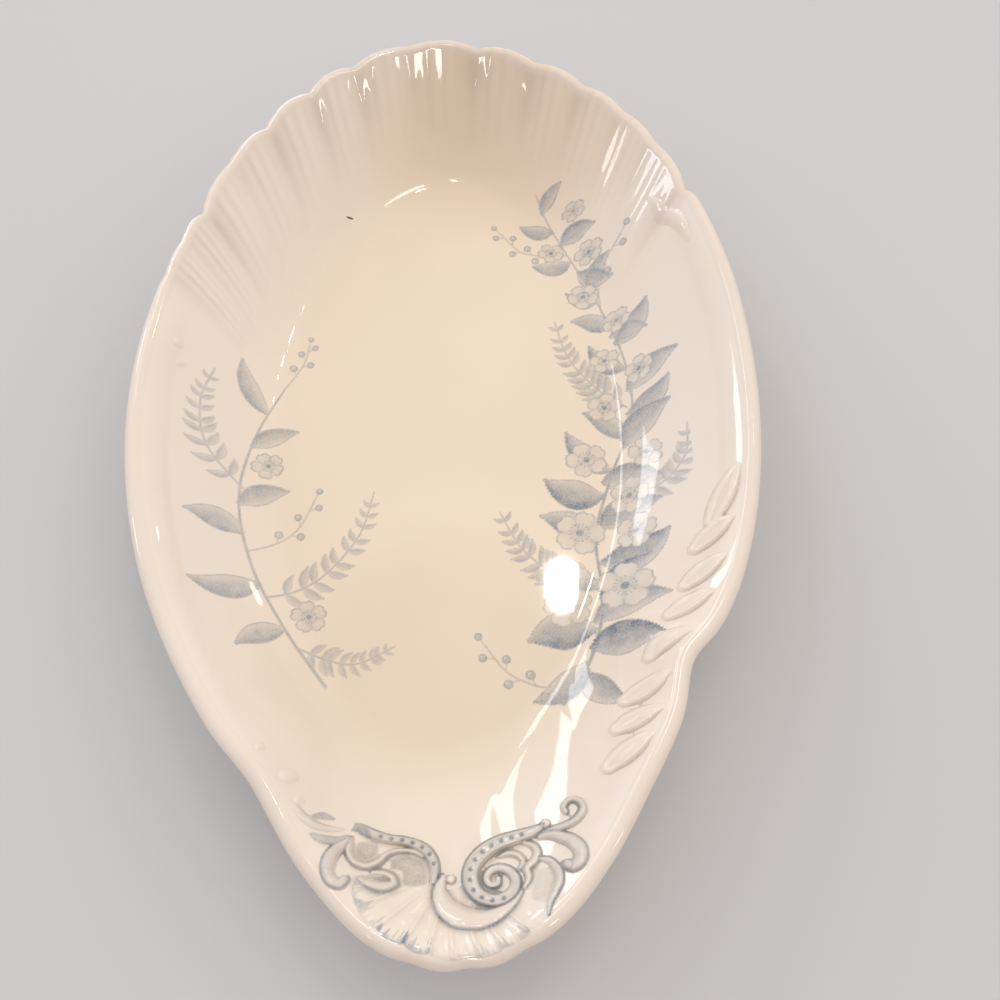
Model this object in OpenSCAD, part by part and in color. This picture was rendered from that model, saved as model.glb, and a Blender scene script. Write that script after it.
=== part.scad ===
// Pear-shaped relish dish of glazed earthenware.
// A flat oval floor turns up into a flaring wall. The far end is fluted like a shell, the sides
// have a rolled lip, and the handle end carries scrolls, leaf curls and a small shell fan.
// The table is at z = 0, the origin lies under the middle of the dish, and the handle points to -Y.

/* [Dish] */
// Length over the rim, from the handle's tip to the fluted end
dish_l = 216; // [170:1:320]
// Width over the rim
dish_w = 134.5; // [110:0.5:200]
// Height of the rim above the table
dish_h = 27; // [20:0.5:45]
// Thickness of the clay in the wall and the rolled lip
wall_t = 4.4; // [3:0.1:6]
// Thickness of the clay at the fluted edge
flute_edge_t = 3.4; // [2:0.1:5]
// Thickness of the clay under the flat floor
floor_t = 3.8; // [3:0.1:6]

/* [Flat floor] */
// Length of the flat floor
floor_l = 139.5; // [100:0.5:150]
// Width of the flat floor
floor_w = 73; // [50:0.5:90]
// How far the floor's middle lies from the dish's middle, towards the fluted end
floor_shift = 7; // [0:0.5:12]
// Radius of the curve where the floor turns up into the wall
toe_r = 10; // [5:0.5:20]

/* [Lip] */
// Angle between the wall and the table just inside the lip
lip_slope = 44; // [35:1:55]
// Width of the rolled band along the smooth stretches of the lip
roll_w = 5; // [3:0.1:7]
// Slope that the roll gains at its inner crease, as rise over run
roll_gain = 0.3; // [0:0.05:0.5]
// Slope that the roll loses at its crown, as rise over run
roll_loss = 0.5; // [0:0.05:0.6]

/* [Flutes] */
// Depth of the grooves between the flutes where they meet the rim
flute_depth = 1.1; // [0.4:0.1:1.6]
// How far the grooves reach inward from the rim
flute_reach = 20; // [10:1:26]
// Depth of an average scallop in the outline
scallop_depth = 1; // [0.3:0.1:1.5]
// Angle by which the left-hand flutes sweep towards the handle as they run inward
flute_sweep = 9; // [0:1:15]

/* [Foot] */
// Height of the foot ring, which is the gap between the table and the dish's underside
foot_h = 2.2; // [1.5:0.1:5]
// Width of the foot ring's bearing face
foot_w = 4; // [2:0.1:8]
// Distance from the edge of the flat floor in to the foot ring
foot_inset = 3; // [1:0.5:10]

/* [Relief] */
// Height of the scrolls above the wall
scroll_h = 1.5; // [0.8:0.1:2.5]
// Height of the shell's ribs and the small leaves above the wall
leaf_h = 0.9; // [0.5:0.1:1.6]
// Width of the feather strokes along the right-hand side
feather_w = 3.6; // [2:0.1:5]
// Radius of the larger beads
bead_r = 1.6; // [1:0.1:2.4]
// Thickness of the slip that beds each piece of relief on the dish
slip_t = 0.1; // [0.05:0.01:0.3]

/* [Hidden] */

half_l = dish_l / 2;
half_w = dish_w / 2;
floor_z = foot_h + floor_t;

// Outline of the rim every ten degrees, anticlockwise from +X, as shares of the half width and length
rim_shares = [0.997, 1.009, 1.020, 1.023, 1.019, 1.014, 1.003, 0.996, 0.996,
              1.001, 1.003, 1.004, 1.006, 1.010, 1.008, 1.003, 1.006, 1.008,
              0.996, 0.972, 0.943, 0.911, 0.888, 0.880, 0.891, 0.929, 0.974,
              0.999, 1.006, 0.992, 0.962, 0.934, 0.914, 0.917, 0.954, 0.980];
// Dips in the outline: angle, spread in degrees, and depth as a share of the half width
dip_shares = [[325.5, 4.8, 0.036], [235, 7, 0.019], [267.5, 2, 0.006], [275.5, 2, 0.008],
              [283.5, 2, 0.007], [308, 8, 0.01]];
// Creases between the flutes: angle, and depth as a share of the average scallop
crease_shares = [[35.5, 1.25], [44.5, 0.15], [52, 0.2], [61.3, 0.5], [72, 0.7], [84.8, 0.9], [99, 0.2],
                 [110.8, 0.85], [120.6, 1], [130.7, 1.1], [139.5, 0.1], [148.3, 1.2], [153.9, 0.1],
                 [159.3, 0.1]];
// Depth of the shallowest groove along a crease, as a share of the deepest
weak_groove_share = 0.5;
// The fluted stretch fades in and out between these angles
flutes_from = [31, 37];
flutes_to = [160, 166];
// The sweep of the left-hand flutes fades in and out between these angles
sweep_from = [118, 143];
sweep_to = [163, 195];
// Half the angle that the first and last crease take up outside the flutes
outer_crease_span = 3;
// Higher values make the grooves between the flutes narrower
crease_power = 1.6;
// Step used to find the direction of the outline, in degrees
probe = 0.5;
// Slope at the end of a wall curve that has no steepening of its own
plain_end_slope = 1.24;

// Columns of the mesh: places within one flute, and steps along the smooth stretch in degrees
flute_steps = [0, 0.12, 0.28, 0.5, 0.72, 0.88];
smooth_step = 2;
smooth_span = 360 + flutes_from[0] - flutes_to[1];
smooth_steps = ceil(smooth_span / smooth_step);
// Rings of the mesh, as shares of the wall between the floor and the roll
wall_ring_shares = [0, 0.05, 0.11, 0.19, 0.28, 0.38, 0.48, 0.57, 0.65, 0.73, 0.8, 0.87, 0.94];
roll_ring_shares = [0, 0.25, 0.5, 0.75, 1];
nose_angles = [36, 72, 108, 144, 180];
under_ring_shares = [0.86, 0.7, 0.54, 0.38, 0.24, 0.12, 0];

function clamp01(v) = min(1, max(0, v));
function ease(v) = clamp01(v) * clamp01(v) * (3 - 2 * clamp01(v));
function turn(a) = a - 360 * floor(a / 360);
function turn_gap(a, b) = turn(a - b + 180) - 180;
function window(a, from, to) =
    ease((turn(a) - from[0]) / (from[1] - from[0])) * ease((to[1] - turn(a)) / (to[1] - to[0]));
function sum(v, i = 0) = i < len(v) ? v[i] + sum(v, i + 1) : 0;

// Smooth curve through a closed table of values at even angles
function curve_at(table, a) =
    let (n = len(table), x = turn(a) * n / 360, i = floor(x), f = x - i,
         p0 = table[(i + n - 1) % n], p1 = table[i % n], p2 = table[(i + 1) % n], p3 = table[(i + 2) % n])
    p1 + (p2 - p0 + (2 * p0 - 5 * p1 + 4 * p2 - p3 + (3 * (p1 - p2) + p3 - p0) * f) * f) * f / 2;

// The smooth outline, its outward direction, and how far a tangent to it lies from the origin
function rim(a) = curve_at(rim_shares, a) * [half_w * cos(a), half_l * sin(a)];
function rim_out(a) = let (t = rim(a + probe) - rim(a - probe)) [t.y, -t.x] / norm(t);
function rim_support(a) = rim(a) * rim_out(a);
function dip(a) =
    half_w * sum([for (d = dip_shares) d[2] * exp(-pow(turn_gap(a, d[0]) / d[1], 2))]);

// Flutes: how strongly an angle is fluted, and how close it is to a crease
function fluted(a) = window(a, flutes_from, flutes_to);
function crease_reach(i, side) =
    let (j = i + side)
    j < 0 || j >= len(crease_shares) ? outer_crease_span : abs(crease_shares[j][0] - crease_shares[i][0]) / 2;
function crease_at(a, i) =
    let (gap = turn_gap(a, crease_shares[i][0]), reach = crease_reach(i, gap < 0 ? -1 : 1))
    pow(max(0, 1 - abs(gap) / reach), crease_power);
function groove(a) = sum([for (i = [0 : len(crease_shares) - 1])
    crease_at(a, i) * (weak_groove_share + (1 - weak_groove_share) * clamp01(crease_shares[i][1]))]);
function scallop(a) =
    scallop_depth * sum([for (i = [0 : len(crease_shares) - 1]) crease_at(a, i) * crease_shares[i][1]]);
function sweep(a) = flute_sweep * window(a, sweep_from, sweep_to);

// Edge of the clay: its thickness, its lean, and the height and inset of the line where it starts
function edge_t(a) = wall_t + (flute_edge_t - wall_t) * fluted(a);
function edge_lean(a) = atan(tan(lip_slope) - roll_loss * (1 - fluted(a)));
function crown_z(a) = dish_h - edge_t(a) / 2 * (1 - cos(edge_lean(a)));
function crown_inset(a) = edge_t(a) / 2 * (1 + sin(edge_lean(a)));

// Distances from the origin along angle a, as shares: the flat floor's edge and the crown line
function floor_share(a) =
    let (sx = cos(a) * dish_w / floor_w, sy = sin(a) * dish_l / floor_l, cy = floor_shift * 2 / floor_l,
         aa = sx * sx + sy * sy, bb = sy * cy)
    (bb + sqrt(bb * bb - aa * (cy * cy - 1))) / aa;
function crown_share(a, cut) =
    curve_at(rim_shares, a) * (1 - (crown_inset(a) + dip(a) + cut) / rim_support(a));

// Wall curve along angle a: perpendicular run, rise, roundness at the toe and steepening at the top
function wall_run(a) =
    rim_support(a) * (crown_share(a, 0) - floor_share(a)) / curve_at(rim_shares, a);
function wall_rise(a) =
    crown_z(a) - floor_z - roll_w * (roll_gain - roll_loss) / 2 * (1 - fluted(a));
function wall_data(a) =
    let (run = wall_run(a), rise = wall_rise(a), toe = toe_r * rise / (run * run),
         steep = (tan(lip_slope) * run / rise - plain_end_slope) / (3 - plain_end_slope))
    [run, rise, toe + toe * toe, clamp01(steep)];
function wall_curve(w, u) =
    (1 - w[3]) * (sqrt(u * u + w[2] * w[2]) - w[2]) / (sqrt(1 + w[2] * w[2]) - w[2]) + w[3] * u * u * u;
function wall_slope(w, u) =
    w[1] / w[0] * ((1 - w[3]) * u / sqrt(u * u + w[2] * w[2]) / (sqrt(1 + w[2] * w[2]) - w[2])
    + 3 * w[3] * u * u);
function roll_rise(x) = roll_w * ((roll_gain + roll_loss) * (1 - x * x) / 2 - roll_loss * (1 - x));
function roll_turn(x) = x < 1 ? roll_gain * x - roll_loss * (1 - x) : 0;

// Height of the top surface at angle a, share u of the wall, with c the flute's own angle at the rim
function top_z(a, u, c, w) =
    let (inward = (1 - u) * w[0], x = clamp01(inward / roll_w), smooth = 1 - fluted(c),
         fade = pow(clamp01(1 - inward / flute_reach), crease_power))
    floor_z + w[1] * wall_curve(w, u) + smooth * roll_rise(x)
    - flute_depth * min(1, groove(c)) * fluted(c) * fade;

// Point on the top surface on flute angle c, and the clay's direction there
function swept(c, u) = c + sweep(c) * pow(1 - u, 3);
function plan_at(a, c, u) =
    (floor_share(a) + u * (crown_share(a, scallop(c)) - floor_share(a))) * [half_w * cos(a), half_l * sin(a)];
function top_at(c, u) =
    let (a = swept(c, u), w = wall_data(a), p = plan_at(a, c, u))
    [p.x, p.y, top_z(a, u, c, w)];
function lean_at(c, u) =
    let (a = swept(c, u), w = wall_data(a), x = clamp01((1 - u) * w[0] / roll_w),
         s = atan(wall_slope(w, u) + (1 - fluted(c)) * roll_turn(x)), o = rim_out(a))
    [-o.x * sin(s), -o.y * sin(s), cos(s)];
function clay_t(c, u) = floor_t + (edge_t(c) - floor_t) * ease(2 * u);

// Height of the top surface under a point of the relief, which lies clear of the swept flutes
function dish_z(p) =
    let (a = atan2(p.y / half_l, p.x / half_w), rho = norm([p.x / half_w, p.y / half_l]),
         f = floor_share(a), u = max(0, (rho - f) / (crown_share(a, scallop(a)) - f)))
    top_z(a, u, a, wall_data(a));
// Plan point at angle a and share u of the wall
function on_wall(au) = plan_at(au[0], au[0], au[1]);

// Edge of the clay, a half round from the crown line to the underside
function nose_at(c, turned) =
    let (t = edge_t(c), s = edge_lean(c), o = rim_out(c), crown = top_at(c, 1),
         up = [-o.x * sin(s), -o.y * sin(s), cos(s)], out = [o.x * cos(s), o.y * cos(s), sin(s)])
    crown + t / 2 * (up * (cos(turned) - 1) + out * sin(turned));

// Mesh of the dish: columns round it, and rings from the floor over the edge to the underside
columns = concat(
    [for (i = [0 : len(crease_shares) - 2], s = flute_steps)
        crease_shares[i][0] + s * (crease_shares[i + 1][0] - crease_shares[i][0])],
    [crease_shares[len(crease_shares) - 1][0], flutes_to[1] - outer_crease_span],
    [for (i = [0 : smooth_steps]) flutes_to[1] + i * smooth_span / smooth_steps],
    [360 + flutes_from[0] + outer_crease_span / 2, 360 + flutes_from[0] + outer_crease_span]);

module dish_body() {
    color("ivory") {
        n = len(columns);
        roll_at = [for (c = columns) roll_w / wall_run(c)];
        top = [
            for (s = wall_ring_shares) [for (i = [0 : n - 1]) top_at(columns[i], s * (1 - roll_at[i]))],
            for (s = roll_ring_shares) [for (i = [0 : n - 1]) top_at(columns[i], 1 - roll_at[i] * (1 - s))]
        ];
        nose = [for (t = nose_angles) [for (c = columns) nose_at(c, t)]];
        under = [for (u = under_ring_shares) [for (c = columns) top_at(c, u) - clay_t(c, u) * lean_at(c, u)]];
        rings = concat(top, nose, under);
        middle = n * len(rings);
        points = concat([for (r = rings, p = r) p], [[0, 0, floor_z], [0, 0, foot_h]]);
        skin = [for (k = [0 : len(rings) - 2], i = [0 : n - 1])
            let (j = (i + 1) % n, a = k * n + i, b = (k + 1) * n + i, c = (k + 1) * n + j, d = k * n + j)
            each [[a, d, c], [a, c, b]]];
        caps = [for (i = [0 : n - 1]) let (j = (i + 1) % n)
            each [[middle, j, i], [middle + 1, middle - n + i, middle - n + j]]];
        polyhedron(points, concat(skin, caps));
    }
}

// Foot ring, an oval band under the edge of the flat floor
foot_points = 96;
module oval(inset) {
    polygon([for (i = [0 : foot_points - 1]) let (a = 360 * i / foot_points)
        [(floor_w / 2 - inset) * cos(a), floor_shift + (floor_l / 2 - inset) * sin(a)]]);
}
module foot_ring() {
    color("ivory")
        linear_extrude(foot_h)
            difference() {
                oval(foot_inset);
                oval(foot_inset + foot_w);
            }
}

// Relief on the dish. A strand is a raised band along plan points, each with its half width and its
// height. Its underside follows the dish, a film of slip above it.
strand_steps = 3;
strand_sides = [-1, -0.6, 0, 0.6, 1, 0.5, 0, -0.5];
strand_rise_shares = [0, 0.72, 1, 0.72, 0, 0, 0, 0];

function bend_at(p, i, f) =
    let (n = len(p) - 1, p0 = p[max(0, i - 1)], p1 = p[i], p2 = p[min(n, i + 1)], p3 = p[min(n, i + 2)])
    p1 + (p2 - p0 + (2 * p0 - 5 * p1 + 4 * p2 - p3 + (3 * (p1 - p2) + p3 - p0) * f) * f) * f / 2;
function smoothed(p, steps) =
    concat([for (i = [0 : len(p) - 2], k = [0 : steps - 1]) bend_at(p, i, k / steps)], [p[len(p) - 1]]);
function strand_ring(at, way, half, rise) =
    let (side = [-way.y, way.x] / norm(way))
    [for (j = [0 : len(strand_sides) - 1])
        let (q = at + side * strand_sides[j] * half)
        [q.x, q.y, dish_z(q) + slip_t + rise * strand_rise_shares[j]]];

module strand(plan, halves, rises, steps = strand_steps) {
    at = smoothed(plan, steps);
    half = smoothed(halves, steps);
    rise = smoothed(rises, steps);
    last = len(at) - 1;
    n = len(strand_sides);
    rings = [for (i = [0 : last])
        strand_ring(at[i], at[min(last, i + 1)] - at[max(0, i - 1)], half[i], rise[i])];
    skin = [for (i = [0 : last - 1], j = [0 : n - 1])
        let (k = (j + 1) % n, a = i * n + j, b = i * n + k, c = (i + 1) * n + k, d = (i + 1) * n + j)
        each [[a, b, c], [a, c, d]]];
    start_cap = [for (j = [1 : n - 2]) [0, j + 1, j]];
    end_cap = [for (j = [1 : n - 2]) [last * n, last * n + j, last * n + j + 1]];
    polyhedron([for (r = rings, p = r) p], concat(skin, start_cap, end_cap));
}

// The handle's ornament keeps its proportions. Its points are shares of this unit, measured from
// the handle's tip: across to the right, and up towards the dish.
handle_aspect_share = 0.6227;
unit = min(half_w, half_l * handle_aspect_share);
function on_handle(share) = [share.x * unit, share.y * unit - half_l];
// Rows of x, y, half width and height share: the plan points and the half widths of a strand
module handle_strand(rows, height) {
    strand([for (r = rows) on_handle(r)], [for (r = rows) r[2] * unit], [for (r = rows) r[3] * height]);
}

// The large dotted volute: from its leaf tip over the top, down the left side and in to the eye
volute_shares = [[0.276, 0.393, 0.009, 0.2], [0.235, 0.357, 0.017, 0.8], [0.172, 0.340, 0.022, 1],
                 [0.128, 0.317, 0.022, 1], [0.103, 0.283, 0.022, 1], [0.098, 0.241, 0.022, 1],
                 [0.113, 0.202, 0.021, 1], [0.146, 0.185, 0.018, 1], [0.183, 0.197, 0.015, 1],
                 [0.203, 0.227, 0.014, 0.95], [0.198, 0.263, 0.012, 0.9], [0.171, 0.278, 0.010, 0.85],
                 [0.152, 0.259, 0.009, 0.8], [0.160, 0.239, 0.007, 0.7]];
module volute_scroll() {
    color("lightsteelblue") handle_strand(volute_shares, scroll_h);
}

// The plain crescent that cradles the volute
crescent_shares = [[0.036, 0.253, 0.009, 0.5], [0.039, 0.208, 0.021, 0.9], [0.064, 0.161, 0.028, 1],
                   [0.107, 0.135, 0.028, 1], [0.152, 0.135, 0.024, 0.9], [0.192, 0.156, 0.018, 0.8],
                   [0.223, 0.190, 0.010, 0.5]];
module outer_crescent() {
    color("ivory") handle_strand(crescent_shares, scroll_h);
}

// The left scroll: its dotted band, the strand round its oval hollow, and its folded lip
left_band_shares = [[-0.199, 0.387, 0.012, 0.4], [-0.164, 0.354, 0.021, 0.9], [-0.122, 0.343, 0.022, 1],
                    [-0.068, 0.336, 0.021, 1], [-0.033, 0.314, 0.019, 1], [-0.010, 0.280, 0.016, 0.95],
                    [-0.006, 0.244, 0.012, 0.8], [-0.015, 0.214, 0.007, 0.5]];
left_hollow_shares = [[-0.219, 0.340, 0.008, 0.6], [-0.226, 0.308, 0.010, 0.9], [-0.202, 0.283, 0.012, 0.9],
                      [-0.168, 0.277, 0.012, 0.9], [-0.140, 0.297, 0.011, 0.8], [-0.104, 0.301, 0.009, 0.7],
                      [-0.068, 0.292, 0.006, 0.5]];
left_fold_shares = [[-0.196, 0.244, 0.007, 0.5], [-0.164, 0.228, 0.013, 0.9], [-0.126, 0.228, 0.014, 1],
                    [-0.098, 0.245, 0.010, 0.7]];
module left_scroll() {
    color("lightsteelblue") {
        handle_strand(left_band_shares, scroll_h);
        handle_strand(left_hollow_shares, leaf_h);
        handle_strand(left_fold_shares, leaf_h);
    }
}

// Leaf curls at both ends of the ornament
left_curl_shares = [[-0.250, 0.322, 0.009, 0.5], [-0.272, 0.294, 0.014, 0.6], [-0.276, 0.257, 0.014, 0.4],
                    [-0.261, 0.223, 0.012, 0.4], [-0.235, 0.208, 0.011, 0.5], [-0.217, 0.228, 0.008, 0.7]];
left_spike_shares = [[-0.385, 0.402, 0.008, 0.4], [-0.328, 0.374, 0.013, 0.9], [-0.256, 0.370, 0.009, 0.5]];
module left_leaf_curl() {
    color("lightsteelblue") {
        handle_strand(left_curl_shares, scroll_h);
        handle_strand(left_spike_shares, leaf_h);
    }
}
right_curl_shares = [[0.288, 0.339, 0.010, 0.4], [0.336, 0.333, 0.016, 0.9], [0.375, 0.318, 0.019, 1],
                     [0.394, 0.285, 0.019, 0.7], [0.388, 0.258, 0.017, 0.6], [0.368, 0.252, 0.014, 0.7]];
module right_leaf_curl() {
    color("lightsteelblue") handle_strand(right_curl_shares, scroll_h);
}

// The small tendril that springs from the volute's tip
tendril_shares = [[0.306, 0.366, 0.010, 0.4], [0.345, 0.372, 0.012, 0.8], [0.383, 0.383, 0.012, 1],
                  [0.413, 0.407, 0.012, 1], [0.418, 0.443, 0.011, 1], [0.387, 0.465, 0.010, 1],
                  [0.352, 0.448, 0.009, 0.9], [0.357, 0.418, 0.009, 0.8], [0.381, 0.416, 0.008, 0.7]];
module tendril_scroll() {
    color("lightsteelblue") handle_strand(tendril_shares, scroll_h);
}

// The shell under the scrolls: ribs that run out towards the tip, and the curled edge at its right
rib_shares = [[[-0.131, 0.184], [-0.172, 0.149]], [[-0.098, 0.170], [-0.128, 0.113]],
              [[-0.054, 0.172], [-0.074, 0.086]], [[-0.009, 0.167], [-0.018, 0.071]],
              [[0.033, 0.102], [0.036, 0.064]], [[0.095, 0.088], [0.098, 0.060]],
              [[0.157, 0.092], [0.165, 0.068]], [[0.206, 0.116], [0.222, 0.092]],
              [[0.241, 0.160], [0.263, 0.133]]];
rib_half_shares = [0.009, 0.016, 0.013];
rib_rise_shares = [0.4, 1, 0.5];
shell_edge_shares = [[0.286, 0.281, 0.007, 0.4], [0.312, 0.274, 0.012, 0.9], [0.324, 0.238, 0.013, 1],
                     [0.314, 0.204, 0.013, 0.9], [0.298, 0.174, 0.012, 0.7], [0.290, 0.146, 0.007, 0.4]];
module shell_fan() {
    color("ivory") {
        for (rib = rib_shares)
            strand([on_handle(rib[0]), on_handle((rib[0] + rib[1]) / 2), on_handle(rib[1])],
                   rib_half_shares * unit, rib_rise_shares * leaf_h);
        handle_strand(shell_edge_shares, leaf_h);
    }
}

// Feather strokes down the right side: angle and wall share where each starts at the lip and ends
stroke_shares = [[353, 0.9, 347.5, 0.83], [346, 0.91, 343, 0.76], [340.5, 0.91, 337.5, 0.77],
                 [335.5, 0.91, 331.8, 0.77], [328, 0.93, 323.8, 0.8], [321, 0.91, 315.8, 0.69],
                 [317, 0.92, 311.6, 0.73], [313, 0.93, 307, 0.82]];
stroke_bow = 1.2;
stroke_half_shares = [0.15, 0.42, 0.5, 0.4, 0.15];
stroke_rise_shares = [0.3, 0.9, 1, 0.9, 0.4];
module side_feathers() {
    color("ivory")
        for (s = stroke_shares) {
            from = [s[0], s[1]];
            to = [s[2], s[3]];
            plan = [for (f = [0 : 0.25 : 1]) on_wall([from.x + (to.x - from.x) * pow(f, stroke_bow),
                                                      from.y + (to.y - from.y) * f])];
            strand(plan, stroke_half_shares * feather_w, stroke_rise_shares * leaf_h, 1);
        }
}

// The short scroll that crosses the first crease, where the flutes end at the right: angle from that
// crease, wall share, half width and height share
break_shares = [[3.6, 0.82, 0.1, 0.3], [1.9, 0.845, 0.26, 0.8], [0, 0.86, 0.34, 1], [-2.2, 0.875, 0.36, 1],
                [-4.5, 0.885, 0.28, 0.9], [-6.9, 0.88, 0.1, 0.3]];
module rim_break_scroll() {
    color("ivory")
        strand([for (b = break_shares) on_wall([crease_shares[0][0] + b[0], b[1]])],
               [for (b = break_shares) b[2] * feather_w], [for (b = break_shares) b[3] * leaf_h]);
}

// Beads at the lower left, and two dashes where the flutes end: angle, wall share and size share
bead_shares = [[232.4, 0.90, 0.7], [239.2, 0.83, 1], [242.8, 0.86, 0.6], [167.4, 0.84, 0.6],
               [169.8, 0.8, 0.5]];
// Rings of one bead: radius and height as shares
bead_ring_shares = [[1, 0], [0.85, 0.5], [0.5, 0.87]];
bead_sides = 14;
module bead(middle, r) {
    n = bead_sides;
    last = (len(bead_ring_shares) - 1) * n;
    rings = [for (s = bead_ring_shares, i = [0 : n - 1])
        let (q = middle + s[0] * r * [cos(360 * i / n), sin(360 * i / n)])
        [q.x, q.y, dish_z(q) + slip_t + leaf_h * s[1]]];
    z = dish_z(middle) + slip_t;
    skin = [for (k = [0 : len(bead_ring_shares) - 2], i = [0 : n - 1])
        let (j = (i + 1) % n, a = k * n + i, b = k * n + j, c = (k + 1) * n + j, d = (k + 1) * n + i)
        each [[a, d, c], [a, c, b]]];
    caps = [for (i = [0 : n - 1]) let (j = (i + 1) % n)
        each [[last + i, len(rings), last + j], [i, j, len(rings) + 1]]];
    polyhedron(concat(rings, [[middle.x, middle.y, z + leaf_h], [middle.x, middle.y, z]]),
               concat(skin, caps));
}
module bead_trail() {
    color("ivory")
        for (b = bead_shares) bead(on_wall(b), bead_r * b[2]);
}

dish_body();
foot_ring();
volute_scroll();
outer_crescent();
left_scroll();
left_leaf_curl();
right_leaf_curl();
tendril_scroll();
shell_fan();
side_feathers();
rim_break_scroll();
bead_trail();
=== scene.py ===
"""Pear-shaped relish dish of glazed earthenware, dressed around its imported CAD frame.

The clay, its moulded ornament and its printed sprays are all cut from one surface, dish_height(),
so neighbouring pieces share their heights and normals and no seam shows under the glaze.
Shapes are worked out in millimetres, in the frame's own axes, and meshes are made in metres.
"""
import math

import bpy
import numpy as np
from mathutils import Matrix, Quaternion, Vector


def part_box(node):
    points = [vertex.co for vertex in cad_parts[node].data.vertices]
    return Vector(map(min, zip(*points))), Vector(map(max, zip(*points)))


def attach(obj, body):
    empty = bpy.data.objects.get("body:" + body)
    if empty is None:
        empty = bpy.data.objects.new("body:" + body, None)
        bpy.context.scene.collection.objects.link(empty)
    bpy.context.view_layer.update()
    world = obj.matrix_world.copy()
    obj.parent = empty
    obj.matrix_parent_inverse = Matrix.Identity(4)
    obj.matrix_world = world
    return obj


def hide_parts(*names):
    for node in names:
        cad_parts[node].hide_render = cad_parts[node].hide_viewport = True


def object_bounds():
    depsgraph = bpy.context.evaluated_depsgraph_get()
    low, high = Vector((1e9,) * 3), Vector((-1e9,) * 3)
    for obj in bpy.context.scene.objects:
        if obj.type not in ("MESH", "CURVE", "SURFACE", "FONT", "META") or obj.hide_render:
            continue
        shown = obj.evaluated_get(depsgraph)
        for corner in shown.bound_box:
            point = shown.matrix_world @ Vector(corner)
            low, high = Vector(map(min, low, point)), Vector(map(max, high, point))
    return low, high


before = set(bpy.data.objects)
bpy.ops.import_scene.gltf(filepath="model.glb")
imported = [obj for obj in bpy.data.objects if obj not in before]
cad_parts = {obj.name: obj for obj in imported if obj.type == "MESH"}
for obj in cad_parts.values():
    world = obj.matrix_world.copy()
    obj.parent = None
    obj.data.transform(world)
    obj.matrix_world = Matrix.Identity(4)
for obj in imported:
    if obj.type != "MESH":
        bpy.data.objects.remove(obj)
cad_low, cad_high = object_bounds()

MM = 0.001

# ---------------- driving sizes, millimetres
LENGTH = 216.0
WIDTH = 134.5
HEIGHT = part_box("dish_body")[1].z / MM
WALL_T = 4.4
FLUTE_EDGE_T = 3.4
FLOOR_T = 3.8
FOOT_H = 2.2
FOOT_W = 4.0
FOOT_INSET = 3.0
FLOOR_L = 139.5
FLOOR_W = 73.0
FLOOR_SHIFT = 7.0
TOE_R = 10.0
LIP_SLOPE = math.tan(math.radians(44.0))
ROLL_W = 5.0
ROLL_GAIN = 0.3
ROLL_LOSS = 0.5
FLUTE_DEPTH = 1.2
GROOVE_ROUND = 0.10
GROOVE_POWER = 2.4
# Millimetres inward from the crown: where the grooves start to fade, and where they end
FLUTE_FULL = 3.0
FLUTE_REACH = 15.5
# How far inward the scalloped rim lifts the wall
LIFT_REACH = 7.0
SCALLOP = 1.0
SWEEP = 9.0
SWEEP_POWER = 3
FLOOR_Z = FOOT_H + FLOOR_T
# The finer mesh follows the curves closer than the CAD's, so it is drawn in by this much
TRIM = 0.07
TOP = cad_high.z / MM - 0.05
HALF_L = LENGTH / 2
HALF_W = WIDTH / 2

# The rim's distance from the middle every 10 degrees from +X, as a share of an ellipse's
RIM_SHARES = np.array([
    0.997, 1.009, 1.020, 1.023, 1.019, 1.014, 1.003, 0.996, 0.996,
    1.001, 1.003, 1.004, 1.006, 1.010, 1.008, 1.003, 1.006, 1.008,
    0.996, 0.972, 0.943, 0.911, 0.888, 0.880, 0.891, 0.929, 0.974,
    0.999, 1.006, 0.992, 0.962, 0.934, 0.914, 0.917, 0.954, 0.980])
# Dips in the outline: angle, spread in degrees, depth as a share of the half width
DIPS = [(325.5, 4.8, 0.036), (235, 7, 0.019), (267.5, 2, 0.006), (275.5, 2, 0.008),
        (283.5, 2, 0.007), (308, 8, 0.01)]
# Creases between the flutes: angle, depth as a share of the scallop
CREASES = [(35.5, 1.25), (44.5, 0.15), (52, 0.2), (61.3, 0.5), (72, 0.7), (84.8, 0.9), (99, 0.2),
           (110.8, 0.85), (120.6, 1), (130.7, 1.1), (139.5, 0.1), (148.3, 1.2), (153.9, 0.1),
           (159.3, 0.1)]
# Share of the full depth that the weakest groove has
WEAK_GROOVE = 0.5
# Angles over which the flutes and their sweep begin and end
FLUTES_FROM = (31, 37)
FLUTES_TO = (160, 166)
SWEEP_FROM = (118, 143)
SWEEP_TO = (163, 195)
SWEEP_HALVINGS = 14
OUTER_SPAN = 3.0
CREASE_POWER = 1.6
# End slopes of the wall's two sections, as a share of its mean slope: where it is round, where it is a cube
ROUND_END_SLOPE, CUBE_END_SLOPE = 1.24, 3


# ---------------- the dish's surface
def ease(v):
    v = np.clip(v, 0, 1)
    return v * v * (3 - 2 * v)


def bell(v, width):
    return np.exp(-(v / width) ** 2)


def blend(share, a, b):
    return a * (1 - share) + b * share


def cubic(p0, p1, p2, p3, f):
    """Catmull-Rom curve from p1 to p2."""
    return p1 + (p2 - p0 + (2 * p0 - 5 * p1 + 4 * p2 - p3 + (3 * (p1 - p2) + p3 - p0) * f) * f) * f / 2


def turn_gap(a, b):
    return (a - b + 180) % 360 - 180


def window(a, rise, fall):
    a = a % 360
    return ease((a - rise[0]) / (rise[1] - rise[0])) * ease((fall[1] - a) / (fall[1] - fall[0]))


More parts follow.
